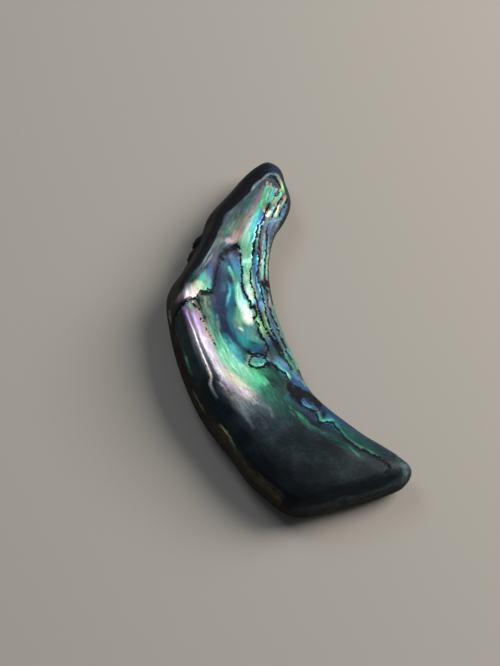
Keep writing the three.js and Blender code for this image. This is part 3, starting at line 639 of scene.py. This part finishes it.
# Each dark mark and its half width in pixels.
DARK_LAYERS = [
    (MAIN_LAYER, 1.1),
    (SECOND_LAYER, 0.9),
    (THIRD_LAYER, 0.8),
    (FOURTH_LAYER, 0.65),
    (POOL_BRINK[:6], 0.7),
    (POOL_BRINK[5:], 1.0),
    (FOLD_LINE[:7], 1.1),
    ([(238.4, 246.6), (234, 248.6), (229, 250), (224.5, 252), (221, 254.5)], 1.1),
    ([(231, 247.4), (236.5, 245.6)], 1.3),
    ([(224, 249), (226.4, 253.6)], 0.8),
    ([(220.5, 255.5), (222.6, 259)], 0.8),
    ([(202, 294), (207, 292.6), (212, 293)], 1.2),
    ([(264.7, 357.9), (262.3, 355.6), (256.1, 354.1), (251.8, 354.1), (248, 352.2)], 1.1),
    ([(249.2, 358.9), (252.2, 355.8), (256.8, 356.3), (261.9, 357.3), (265.5, 360.4), (267, 363.5),
     (262.4, 366.5), (257.3, 367.8), (251.7, 366.5), (248.7, 364), (249.2, 358.9)], 0.8),
    ([(267, 363.5), (262.4, 366.9), (257.3, 368), (251.7, 366.9), (248.7, 364)], 1.3),
    ([(287.4, 388), (292, 394), (298, 401), (305.8, 408.1), (311.9, 410.1), (316.5, 411.4)], 1.2),
    ([(289, 385), (292, 391), (299, 394), (306, 394), (313, 399), (319, 405)], 2.4),
    ([(293, 395), (299, 399)], 2.4),
    ([(295, 389), (303, 391), (310, 395.5), (316, 401)], 2.2),
    ([(191.8, 302), (194.7, 305.8), (198, 307.7), (200.4, 312)], 0.6),
    ([(207.6, 331), (211, 338), (215.4, 345)], 0.35),
    ([(202.6, 314.8), (204.6, 317), (204.8, 320.4), (203.2, 322.2), (201.4, 320.2), (201.4, 316.8),
     (202.6, 314.8)], 0.6),
    ([(205.6, 328.6), (206, 330)], 0.9),
    ([(262.4, 282), (264.6, 287)], 1.2),
    ([(265.6, 281.8), (268, 286)], 1.3),
    ([(269, 176), (274, 177.4), (280, 185.4), (280.8, 189.7), (278, 194), (274, 199)], 0.5),
    ([(268.6, 205), (266.8, 209)], 0.7),
    ([(282, 198), (277.5, 205), (274.5, 211), (272, 217)], 0.8),
    ([(287, 198), (284.5, 205), (280.5, 211), (279, 216)], 0.5),
    ([(260.2, 249), (260.3, 250.2)], 0.9),
    ([(253.4, 246), (253.2, 252)], 0.6),
]
# How far the face drops at each of the cut layers, in millimetres.
LAYER_STEPS = [
    (MAIN_LAYER, 0.2), (SECOND_LAYER, 0.18), (THIRD_LAYER, 0.18), (FOURTH_LAYER, 0.16),
]


def linear(code):
    """Linear colour of an sRGB hex value."""
    parts = np.array([int(code[i:i + 2], 16) / 255 for i in (0, 2, 4)])
    return np.where(parts <= 0.04045, parts / 12.92, ((parts + 0.055) / 1.055) ** 2.4)


def smooth(low, high, value):
    """Smooth step from 0 at low to 1 at high."""
    t = np.clip((value - low) / (high - low), 0, 1)
    return t * t * (3 - 2 * t)


def bend(t, start, end, leaving, arriving):
    """Smooth curve between two values, from how it leaves the one and arrives at the other."""
    t2 = t * t
    t3 = t2 * t
    return ((2 * t3 - 3 * t2 + 1) * start + (t3 - 2 * t2 + t) * leaving
            + (3 * t2 - 2 * t3) * end + (t3 - t2) * arriving)


def through(positions, pick, at):
    """Smooth curve through stations, read at many places. What is picked for the number of a
    station is its values."""
    last = len(positions) - 1
    k = np.clip(np.searchsorted(positions, at) - 1, 0, last - 1)

    def slope(i):
        a, b = np.maximum(i - 1, 0), np.minimum(i + 1, last)
        return (pick(b) - pick(a)) / (positions[b] - positions[a])[:, None]

    span = (positions[k + 1] - positions[k])[:, None]
    t = np.clip((at - positions[k])[:, None] / span, 0, 1)
    return bend(t, pick(k), pick(k + 1), span * slope(k), span * slope(k + 1))


def curve(points, per_span, closed=False):
    """Centripetal curve through points, as many close points."""
    points = np.array(points, float)
    count = len(points)
    pieces = []
    t = np.linspace(0, 1, per_span, endpoint=False)[:, None]
    for i in range(count if closed else count - 1):
        if closed:
            a, b, c, d = (points[(i + k) % count] for k in (-1, 0, 1, 2))
        else:
            b, c = points[i], points[i + 1]
            a = points[i - 1] if i else 2 * b - c
            d = points[i + 2] if i + 2 < count else 2 * c - b
        g0, g1, g2 = (np.linalg.norm(q - p) ** 0.5 for p, q in ((a, b), (b, c), (c, d)))
        leaving = ((b - a) / g0 - (c - a) / (g0 + g1) + (c - b) / g1) * g1
        arriving = ((c - b) / g1 - (d - b) / (g1 + g2) + (d - c) / g2) * g1
        pieces.append(bend(t, b, c, leaving, arriving))
    if not closed:
        pieces.append(points[-1:])
    return np.concatenate(pieces)


def evenly(loop, count):
    """The same closed line as evenly spaced points."""
    line = np.vstack([loop, loop[:1]])
    run = np.r_[0, np.cumsum(np.linalg.norm(np.diff(line, axis=0), axis=1))]
    at = np.linspace(0, run[-1], count + 1)[:-1]
    return np.c_[np.interp(at, run, line[:, 0]), np.interp(at, run, line[:, 1])]


def within(points, line, reach):
    """Which points are inside the box round a line, with some reach to spare."""
    low, high = line.min(0) - reach, line.max(0) + reach
    return np.flatnonzero(((points > low) & (points < high)).all(1))


def nearest(points, line):
    """Distance from each point to a line, how far along the line it is, its side, and the
    line's length. Past an end the line runs straight on, so the place along it is below 0 or
    above its length."""
    starts, ends = line[:-1], line[1:]
    ways = ends - starts
    lengths = np.linalg.norm(ways, axis=1)
    run = np.r_[0, np.cumsum(lengths)]
    best = np.full(len(points), np.inf)
    along = np.zeros(len(points))
    side = np.zeros(len(points))
    last = len(starts) - 1
    for i, (start, way, length) in enumerate(zip(starts, ways, lengths)):
        offset = points - start
        t = offset @ way / length ** 2
        inside = np.clip(t, 0, 1)
        gap = np.linalg.norm(offset - inside[:, None] * way, axis=1)
        closer = gap < best
        best = np.where(closer, gap, best)
        free = np.clip(t, -np.inf if i == 0 else 0, np.inf if i == last else 1)
        along = np.where(closer, run[i] + free * length, along)
        across = (way[0] * offset[:, 1] - way[1] * offset[:, 0]) / length
        side = np.where(closer, np.sign(across), side)
    return best, along, side, run[-1]


def noise(x, y, seed):
    """Smooth random field in two directions, between 0 and 1, the same on each run."""
    def corner(i, j):
        wave = np.sin(i * 127.1 + j * 311.7 + seed * 74.7) * 43758.5453
        return wave - np.floor(wave)
    i, j = np.floor(x), np.floor(y)
    u, v = x - i, y - j
    u, v = u * u * (3 - 2 * u), v * v * (3 - 2 * v)
    low = corner(i, j) * (1 - u) + corner(i + 1, j) * u
    high = corner(i, j + 1) * (1 - u) + corner(i + 1, j + 1) * u
    return low * (1 - v) + high * v


def seen_at(points_mm):
    """Where the photograph's camera shows each point, in its pixels."""
    up = np.array([0, math.sin(VIEW_ELEVATION), math.cos(VIEW_ELEVATION)])
    offset = points_mm - CAMERA_MM
    depth = -(offset @ BACKWARD)
    return np.c_[PHOTO_WIDTH / 2 + FOCAL_PIXELS * offset[:, 0] / depth,
                 PHOTO_HEIGHT / 2 - FOCAL_PIXELS * (offset @ up) / depth]


class Outline:
    """The crescent's outline in plan, and what the rim is like along it."""

    def __init__(self):
        whole = curve(OUTER_SIDE + INNER_SIDE, 40, closed=True)
        self.fine = evenly(whole, FINE_SAMPLES)
        self.coarse = evenly(whole, OUTLINE_SAMPLES)
        self.middle = (self.fine.min(0) + self.fine.max(0)) / 2
        gaps = np.linalg.norm(self.fine - np.array(INNER_SIDE[0]), axis=1)
        self.pointed = int(gaps.argmin()) / FINE_SAMPLES
        stations = np.array(RIM_STATIONS)
        before, after = stations[-1:].copy(), stations[:2].copy()
        before[:, 0] -= 1
        after[:, 0] += 1
        wrapped = np.vstack([before, stations, after])
        at = np.arange(OUTLINE_SAMPLES) / OUTLINE_SAMPLES
        self.rim = through(wrapped[:, 0], lambda i: wrapped[i, 1:], at)

    def at(self, share):
        """Points on the outline at shares of its length."""
        i = np.asarray(share) % 1 * FINE_SAMPLES
        low = np.floor(i).astype(int) % FINE_SAMPLES
        t = (i - np.floor(i))[:, None]
        return self.fine[low] * (1 - t) + self.fine[(low + 1) % FINE_SAMPLES] * t

    def near(self, points):
        """Rim settings blended over the nearby outline, and distance in from the rim."""
        settings = np.empty((len(points), self.rim.shape[1]))
        distance = np.empty(len(points))
        per = FINE_SAMPLES // OUTLINE_SAMPLES
        for start in range(0, len(points), POINTS_AT_ONCE):
            here = slice(start, start + POINTS_AT_ONCE)
            part = points[here]
            gaps = np.linalg.norm(part[:, None] - self.coarse[None], axis=2)
            weights = np.maximum(gaps, SMALLEST_GAP) ** -NEARNESS_POWER
            settings[here] = weights @ self.rim / weights.sum(1, keepdims=True)
            spots = gaps.argmin(1)[:, None] * per + np.arange(-per - 1, per + 2)[None]
            near = self.fine[spots % FINE_SAMPLES]
            ways = near[:, 1:] - near[:, :-1]
            offset = part[:, None] - near[:, :-1]
            t = np.clip((offset * ways).sum(2) / (ways ** 2).sum(2), 0, 1)
            distance[here] = np.linalg.norm(offset - t[:, :, None] * ways, axis=2).min(1)
        return settings, distance

    def tip(self, share):
        """The single point at a tip."""
        place = self.at(np.array([share]))
        return np.r_[place[0], self.near(place)[0][0, 0]]


def rounding(share, square):
    """How much of its full height a rounded rim has reached, a share of the way in."""
    inward = 1 - np.clip(share, 0, 1)
    return (1 - inward ** square) ** (1 / square)


def face_relief(pixels):
    """Height added to the face by ledges, grooves, the crease, the fold and small pits."""
    x, y = pixels.T
    wander = (noise(x / WANDER_PERIOD, y / WANDER_PERIOD, 3) - 0.5) * WANDER_REACH
    height = np.zeros(len(pixels))
    for line, drop in LAYER_STEPS:
        gap, _, side, _ = nearest(pixels, np.array(line, float))
        past = np.where(side < 0, gap, -gap) + wander
        heights = [place[1] for place in line]
        starts, ends = min(heights) + STEP_STARTS, max(heights) + STEP_ENDS
        height -= drop * smooth(*STEP_SLOPE, past) * smooth(*starts, y) * (1 - smooth(*ends, y))
    for points, half in DARK_LAYERS:
        line = np.array(points, float)
        close = within(pixels, line, half + 3)
        gap = nearest(pixels[close], line)[0] + wander[close] * 0.5
        height[close] -= GROOVE_DEPTH * (1 - smooth(half * 0.5, half + GROOVE_EDGE, gap))
    gap, run, _, length = nearest(pixels, curve(CREASE, SPAN_POINTS))
    fade = smooth(0, CREASE_FADES[0], run) * (1 - smooth(length - CREASE_FADES[1], length, run))
    height += CREASE_HEIGHT * fade * (1 - smooth(*CREASE_EDGE, gap))
    gap, run, _, length = nearest(pixels, curve(FOLD_LINE, SPAN_POINTS))
    fade = 1 - smooth(FOLD_FADES_FROM, 1, run / length) * FOLD_FADE
    height -= FOLD_DEPTH * fade * (1 - smooth(0, FOLD_HALF_WIDTH, gap))
    for (across, down), reach, depth in PITS:
        gap = np.hypot(x - across, y - down)
        height -= depth * (1 - smooth(reach * 0.4, reach, gap))
    ripple = noise(x / 26, y / 34, 5) + noise(x / 13, y / 16, 6) * 0.4
    return height + (ripple - 0.7) * RIPPLE_HEIGHT


def face_shares():
    """Shares across the face at which each section has its points, crowded at both rims."""
    wall = WALL_SHARE * (1 - np.cos(np.pi / 2 * np.arange(STEPS_WALL) / STEPS_WALL))
    field = np.linspace(WALL_SHARE, BRINK_SHARE, STEPS_FIELD, endpoint=False)
    brink = BRINK_SHARE + (1 - BRINK_SHARE) * np.sin(
        np.pi / 2 * np.arange(STEPS_BRINK) / STEPS_BRINK)
    return np.r_[wall, field, brink]


def shell_points(outline):
    """All the points of the shell in millimetres, ring by ring between its two tips, with
    the place along and across of each one, whether it is on the face, and how far in it is."""
    t = np.arange(1, STEPS_ALONG) / STEPS_ALONG
    stations = t - TIP_CROWDING * np.sin(2 * np.pi * t) / (2 * np.pi)
    face = face_shares()
    back = (1 + np.cos(np.pi * np.arange(STEPS_BACK) / STEPS_BACK)) / 2
    across = np.tile(np.r_[face, back], len(stations))
    along = np.repeat(stations, len(face) + len(back))
    on_face = np.tile(np.arange(len(face) + len(back)) < len(face), len(stations))
    outer = outline.at(along * outline.pointed)
    inner = outline.at(1 - along * (1 - outline.pointed))
    plan = outer + (inner - outer) * across[:, None]
    settings, distance = outline.near(plan)
    edge, face_run, face_square, back_run = settings.T

    heights = np.array(list(FACE_STATIONS.values()))
    columns = through(np.array(list(FACE_STATIONS)), lambda i: heights[i], along)
    rows = np.arange(len(plan))
    face_height = through(np.array(FACE_ACROSS), lambda i: columns[rows, i, None], across)[:, 0]
    pool_gap = nearest(plan, curve(POOL_ROUTE, 2 * SPAN_POINTS))[0]
    face_height -= POOL_DEPTH * np.exp(-(pool_gap / POOL_HALF_WIDTH) ** 2)
    support = sum(np.exp(-((plan[:, 0] - x) ** 2 + (plan[:, 1] - y) ** 2) / reach ** 2)
                  for x, y, reach in FEET)
    back_height = np.maximum(0, ARCH_RISE * (1 - support) - WORN_DEPTH)

    face_share = rounding(distance / face_run, face_square)
    back_share = rounding(distance / back_run, BACK_SQUARE)
    height = np.where(on_face, edge + (face_height - edge) * face_share,
                      edge + (back_height - edge) * back_share)
    points = np.c_[plan, height]
    relief = face_relief(seen_at(points - np.r_[outline.middle, 0]))
    points[:, 2] += np.where(on_face, relief * face_share, 0)

    outward = outer - inner
    outward /= np.linalg.norm(outward, axis=1)[:, None]
    rough = noise(points[:, 0] * 2.2, points[:, 1] * 2.2 + points[:, 2] * 3, 9)
    for x, y, z, size, push in CRUST_LUMPS:
        gap = np.linalg.norm(points - np.array([x, y, z]), axis=1)
        swell = push * np.sqrt(np.maximum(0, 1 - (gap / size) ** 2)) * (0.8 + 0.4 * rough)
        points[:, :2] += outward * swell[:, None]
    return points, along, across, on_face, distance


def blend(names, at):
    """Colours at places along a row of named ones, which are one apart."""
    stops = np.array([linear(name) for name in names])
    return np.c_[tuple(np.interp(at, range(len(stops)), stops[:, c]) for c in range(3))]


def lay_band(colours, pixels, band, seed):
    """Lays one soft band of colour over what is there."""
    route, names, widths, soft, strength, fibres = band
    line = curve(route, SPAN_POINTS)
    close = within(pixels, line, 2 * max(widths) + 1)
    gap, run, side, length = nearest(pixels[close], line)
    share = np.clip(run / length, 0, 1)
    past = np.maximum(np.maximum(-run, run - length), 0)
    half = widths[0] + (widths[1] - widths[0]) * share
    # what is added to the places only keeps the fields of two bands apart
    streak = noise(run / STREAK_SIZE[0] + seed * 5.3, gap * side / STREAK_SIZE[1] + 40, seed)
    fleck = noise(run / FLECK_SIZE[0] + seed * 3.1, gap * side / FLECK_SIZE[1] + 90, seed + 50)
    reach = np.hypot(gap, past) + (streak - 0.5) * half * (LEAST_BREAK + fibres)
    reach += (fleck - 0.5) * FLECK_REACH
    cover = 1 - smooth(half * (1 - soft), half * (1 + soft), reach)
    cover = cover * strength * (1 - fibres * (1 - streak) * STREAK_THINNING)
    tint = blend(names, share * (len(names) - 1) + (fleck - 0.5) * fibres * FLECK_SHIFT)
    tint *= (1 + (fleck - 0.5) * fibres * FLECK_SHADE)[:, None]
    colours[close] += (tint - colours[close]) * cover[:, None]


def paint_face(pixels):
    """Colour of each point of the face."""
    colours = np.tile(linear(NIGHT), (len(pixels), 1))
    for seed, band in enumerate(BANDS):
        lay_band(colours, pixels, band, seed + 11)
    return colours


def hidden_share(mesh, points_mm):
    """How far each point is hidden in the photograph, from 0 (in view) to 1 (turned away)."""
    normals = np.empty(len(points_mm) * 3)
    mesh.vertices.foreach_get("normal", normals)
    to_camera = CAMERA_MM - points_mm
    to_camera /= np.linalg.norm(to_camera, axis=1)[:, None]
    return 1 - smooth(*GRAZING, (normals.reshape(-1, 3) * to_camera).sum(1))


def hidden_paint(along, across):
    """Colours of the hidden parts of the face: streaks along it, bright on the middle of the
    inner side and dark elsewhere."""
    run, over = along * FLOW_ALONG, across * FLOW_ACROSS
    streak = sum(noise(run / length, over / width, seed) * part
                 for seed, (length, width, part) in enumerate(HIDDEN_STREAKS, 31))
    at = np.clip((streak - 0.2) / 0.6, 0, 1) * (len(HIDDEN_BRIGHT) - 1)
    share = smooth(0.08, 0.2, along) * (1 - smooth(0.5, 0.66, along)) * smooth(0.5, 0.7, across)
    bright, deep = blend(HIDDEN_BRIGHT, at), blend(HIDDEN_DEEP, at)
    return bright * share[:, None] + deep * (1 - share)[:, None]


def layer_distance(pixels):
    """Distance to the nearest dark layer's edge, in millimetres, negative inside it."""
    best = np.full(len(pixels), 1.0)
    x, y = pixels.T
    jags = [noise(x / 2.3, y / 2.3, seed) + noise(x / 5, y / 5, seed + 1) for seed in (21, 23)]
    jagged = pixels + np.c_[tuple(jags)] * JAG_REACH - JAG_REACH
    for points, half in DARK_LAYERS:
        line = np.array(points, float)
        close = within(pixels, line, half + 8)
        gap = nearest(jagged[close], line)[0]
        best[close] = np.minimum(best[close], (gap - half) * MM_PER_PIXEL)
    return best


def build_shell():
    """The shell as one closed mesh, carrying its colours and marks as attributes."""
    outline = Outline()
    points, along, across, on_face, distance = shell_points(outline)
    points = np.vstack([outline.tip(0.0), points, outline.tip(outline.pointed)])
    along, across = np.r_[0, along, 1], np.r_[0, across, 0]
    low, high = points.min(0), points.max(0)
    target_low, target_high = np.array(cad_low) / MM, np.array(cad_high) / MM
    fitted = (points - low) / (high - low) * (target_high - target_low) + target_low
    pixels = seen_at(fitted)

    around = STEPS_WALL + STEPS_FIELD + STEPS_BRINK + STEPS_BACK
    ring = np.arange(STEPS_ALONG - 2)[:, None] * around + 1
    k = np.arange(around)
    after = (k + 1) % around
    quads = np.stack([ring + k, ring + around + k, ring + around + after, ring + after], 2)
    first = np.c_[np.zeros(around, int), 1 + k, 1 + after]
    base = 1 + (STEPS_ALONG - 2) * around
    final = np.c_[np.full(around, len(points) - 1), base + after, base + k]

    mesh = bpy.data.meshes.new("shell")
    faces = first.tolist() + quads.reshape(-1, 4).tolist() + final.tolist()
    mesh.from_pydata((fitted * MM).tolist(), [], faces)
    mesh.polygons.foreach_set("use_smooth", [True] * len(mesh.polygons))
    mesh.update()

    hidden = hidden_share(mesh, fitted)[:, None]
    paint = np.ones((len(points), 4))
    paint[:, :3] = paint_face(pixels) * (1 - hidden) + hidden_paint(along, across) * hidden
    put(mesh, "paint", "FLOAT_COLOR", "color", paint)
    put(mesh, "layer", "FLOAT", "value", layer_distance(pixels) + hidden[:, 0])
    put(mesh, "face", "FLOAT", "value", np.r_[1, on_face, 1])
    put(mesh, "inward", "FLOAT", "value", np.r_[0, distance, 0])
    put(mesh, "flow", "FLOAT_VECTOR", "vector",
        np.c_[along * FLOW_ALONG, across * FLOW_ACROSS, fitted[:, 2]])
    mesh.validate()
    mesh.update()
    shell = bpy.data.objects.new("abalone_shell", mesh)
    bpy.context.scene.collection.objects.link(shell)
    return shell


def put(mesh, name, kind, key, values):
    """Stores a value at each point of a mesh."""
    layer = mesh.attributes.new(name, kind, "POINT")
    layer.data.foreach_set(key, np.asarray(values, np.float32).ravel())


def add(tree, kind, inputs=(), gives=0, **settings):
    """Adds a node with its settings, sets or links its inputs, and gives back one of its
    outputs. Inputs are named, or are a row that fills them from the first one on."""
    made = tree.nodes.new("ShaderNode" + kind)
    for name, value in settings.items():
        setattr(made, name, value)
    for key, value in inputs.items() if isinstance(inputs, dict) else enumerate(inputs):
        if isinstance(value, bpy.types.NodeSocket):
            tree.links.new(value, made.inputs[key])
        else:
            made.inputs[key].default_value = value
    return made.outputs[gives] if made.outputs else made


def nacre_material():
    """Polished nacre: thin layers of aragonite under a buffed surface, with dark protein
    layers cut open. It gives the eye pearly, coloured reflections under a clear gloss."""
    material = bpy.data.materials.new("polished_nacre")
    material.use_nodes = True
    tree = material.node_tree
    tree.nodes.clear()
    place = add(tree, "TexCoord", gives="Object")
    paint = add(tree, "Attribute", gives="Color", attribute_name="paint")
    layer, face, inward = (add(tree, "Attribute", gives="Fac", attribute_name=name)
                           for name in ("layer", "face", "inward"))
    flow = add(tree, "Attribute", gives="Vector", attribute_name="flow")

    # fibres that follow the crescent, fine grains and soft clouds shift its hue and brightness.
    # The real fibres are finer than a pixel, so they are drawn as wide as shows
    fibre_way = add(tree, "Mapping", {
        "Vector": flow, "Scale": (1 / FIBRE_LENGTH_MM, 1 / FIBRE_WIDTH_MM, 1.0)})
    fibre = add(tree, "TexNoise", {
        "Vector": fibre_way, "Scale": 1.0, "Detail": 4.0, "Roughness": 0.6})
    grain = add(tree, "TexNoise", {
        "Vector": place, "Scale": 1 / (GRAIN_MM * MM), "Detail": 3.0, "Roughness": 0.55})
    mottle = add(tree, "TexNoise", {
        "Vector": place, "Scale": 1 / (CLOUD_MM * MM), "Detail": 3.0, "Roughness": 0.5})
    mingled = add(tree, "Math", (fibre, grain), operation="ADD")
    shift = add(tree, "MapRange", (mingled, 0.7, 1.3, 0.46, 0.54))
    bright = add(tree, "MapRange", (fibre, *MIDDLE_NOISE, 0.68, 1.3))
    cloudy = add(tree, "MapRange", (mottle, *MIDDLE_NOISE, 0.84, 1.18))
    value = add(tree, "Math", (bright, cloudy), operation="MULTIPLY")
    lively = add(tree, "HueSaturation", {
        "Color": paint, "Hue": shift, "Saturation": 1.0, "Value": value})

    # the face is polished up to its rims, and pale specks show in it, but not in the darkest
    polished = add(tree, "MapRange", (inward, 0.3, 1.6, 0.0, 1.0))
    clear = add(tree, "Math", (polished, face), operation="MULTIPLY")
    clouded = add(tree, "Math", (grain, mottle), operation="ADD")
    speck = add(tree, "MapRange", (clouded, 0.92, 1.3, 0.0, 0.075))
    brightness = add(tree, "RGBToBW", (paint,))
    thin = add(tree, "MapRange", (brightness, 0.005, 0.0095))
    hazy = add(tree, "Math", (speck, thin), operation="MULTIPLY")
    open_speck = add(tree, "Math", (hazy, clear), operation="MULTIPLY")
    speckled = add(tree, "Mix", {
        "Factor": open_speck, "A": lively, "B": (*linear(SMOKE), 1.0)},
        gives="Result", data_type="RGBA")

    # back: soft wavy bands about 1.5 mm apart where the outer layers were ground away
    warp = add(tree, "TexNoise", {
        "Vector": place, "Scale": 1 / (BACK_WAVES_MM * MM), "Detail": 3.0, "Roughness": 0.5})
    contour = add(tree, "ValToRGB", (warp,))
    fill_ramp(contour.node.color_ramp, BACK_BANDS)

    # the rims keep the dark outer layers, which lie level and are about half a millimetre thick
    edge_way = add(tree, "Mapping", {"Vector": flow, "Scale": RIM_LAYER_SCALE})
    edge = add(tree, "TexNoise", {
        "Vector": edge_way, "Scale": 1.0, "Detail": 4.0, "Roughness": 0.65})
    strata = add(tree, "ValToRGB", (edge,))
    fill_ramp(strata.node.color_ramp, RIM_LAYERS)
    rim = add(tree, "MapRange", (inward, 0.8, 2.6, 1.0, 0.0))
    rim_colour = add(tree, "Mix", {
        "Factor": rim, "A": contour, "B": strata}, gives="Result", data_type="RGBA")
    # the painted face wears into the rim along a grainy edge
    brink = add(tree, "Math", (grain, 0.9, inward), operation="MULTIPLY_ADD")
    worn = add(tree, "MapRange", (brink, 0.45, 0.85, 0.0, 1.0))
    shown = add(tree, "Math", (worn, face), operation="MULTIPLY")
    skin = add(tree, "Mix", {
        "Factor": shown, "A": rim_colour, "B": speckled}, gives="Result", data_type="RGBA")

    # dark protein layers, with an edge that wanders by about 0.1 mm
    jag = add(tree, "TexNoise", {
        "Vector": place, "Scale": 1 / (JAG_MM * MM), "Detail": 4.0, "Roughness": 0.65})
    ragged = add(tree, "Math", (jag, 0.5), operation="SUBTRACT")
    wobble = add(tree, "Math", (ragged, 0.75, layer), operation="MULTIPLY_ADD")
    dark = add(tree, "MapRange", (wobble, -0.02, 0.05, 1.0, 0.0))
    on_face = add(tree, "Math", (dark, face), operation="MULTIPLY")
    coloured = add(tree, "Mix", {
        "Factor": on_face, "A": skin, "B": (*linear(INK), 1.0)}, gives="Result", data_type="RGBA")

    # bright nacre gives strong pearly reflections, and the dark layers nearly none
    pearl = add(tree, "MapRange", (brightness, 0.03, 0.4))
    open_nacre = add(tree, "Math", (clear, on_face), operation="SUBTRACT", use_clamp=True)
    sheen = add(tree, "Math", (pearl, open_nacre), operation="MULTIPLY")
    metallic = add(tree, "Math", (sheen, PEARLY_METAL), operation="MULTIPLY")
    coat = add(tree, "Math", (sheen, 0.35, 0.03), operation="MULTIPLY_ADD")
    buffed = add(tree, "MapRange", (grain, *MIDDLE_NOISE, *BUFFED_ROUGHNESS))
    satin = add(tree, "Mix", {"Factor": pearl, "A": SATIN_ROUGHNESS, "B": buffed})
    rougher = add(tree, "Mix", {"Factor": clear, "A": RIM_ROUGHNESS, "B": satin})
    roughness = add(tree, "Mix", {"Factor": on_face, "A": rougher, "B": DARK_ROUGHNESS})
    ripple = add(tree, "Bump", {"Height": fibre, "Strength": 0.12, "Distance": 0.05 * MM})
    shader = add(tree, "BsdfPrincipled", {
        "Base Color": coloured, "Roughness": roughness, "Metallic": metallic, "Normal": ripple,
        "Coat Weight": coat, "Coat Roughness": 0.08, "Specular IOR Level": 0.1})
    add(tree, "OutputMaterial", {"Surface": shader})
    return material


def fill_ramp(ramp, stops):
    """Gives a colour ramp its stops."""
    while len(ramp.elements) < len(stops):
        ramp.elements.new(0.5)
    for element, (position, _) in zip(ramp.elements, stops):
        element.position = position
    for element, (_, code) in zip(ramp.elements, stops):
        element.color = (*linear(code), 1.0)


def set_stage():
    """A plain pale floor, soft lights and the camera."""
    floor_mesh = bpy.data.meshes.new("floor")
    signs = ((-1, -1), (1, -1), (1, 1), (-1, 1))
    corners = [(x * FLOOR_REACH, y * FLOOR_REACH, 0) for x, y in signs]
    floor_mesh.from_pydata(corners, [], [(0, 1, 2, 3)])
    floor = bpy.data.objects.new("floor", floor_mesh)
    bpy.context.scene.collection.objects.link(floor)
    pale = bpy.data.materials.new("pale_matt_card")
    pale.use_nodes = True
    shader = pale.node_tree.nodes["Principled BSDF"]
    shader.inputs["Base Color"].default_value = (*linear(FLOOR_COLOUR), 1.0)
    shader.inputs["Roughness"].default_value = 0.9
    floor_mesh.materials.append(pale)

    world = bpy.data.worlds.new("soft_room")
    world.use_nodes = True
    room = world.node_tree.nodes["Background"]
    room.inputs["Color"].default_value = (*linear(ROOM_COLOUR), 1.0)
    room.inputs["Strength"].default_value = ROOM_STRENGTH
    bpy.context.scene.world = world
    bpy.context.scene.view_settings.view_transform = "Standard"

    for name, place, power, code in LIGHTS:
        lamp = bpy.data.lights.new(name, "AREA")
        lamp.size = LIGHT_SIZE
        lamp.energy = power
        lamp.color = linear(code)
        light = bpy.data.objects.new(name, lamp)
        light.location = place
        light.rotation_euler = (-Vector(place)).to_track_quat("-Z", "Y").to_euler()
        bpy.context.scene.collection.objects.link(light)

    camera = bpy.data.objects.new("camera", bpy.data.cameras.new("camera"))
    bpy.context.scene.collection.objects.link(camera)
    camera.data.sensor_width = SENSOR_MM
    camera.data.lens = FOCAL_PIXELS / PHOTO_HEIGHT * SENSOR_MM
    camera.data.clip_start = 0.01
    camera.location = Vector(CAMERA_MM * MM)
    camera.rotation_euler = (-Vector(BACKWARD)).to_track_quat("-Z", "Y").to_euler()
    bpy.context.scene.camera = camera


set_stage()
shell = build_shell()
shell.data.materials.append(nacre_material())
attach(shell, "root")
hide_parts("shell_piece")
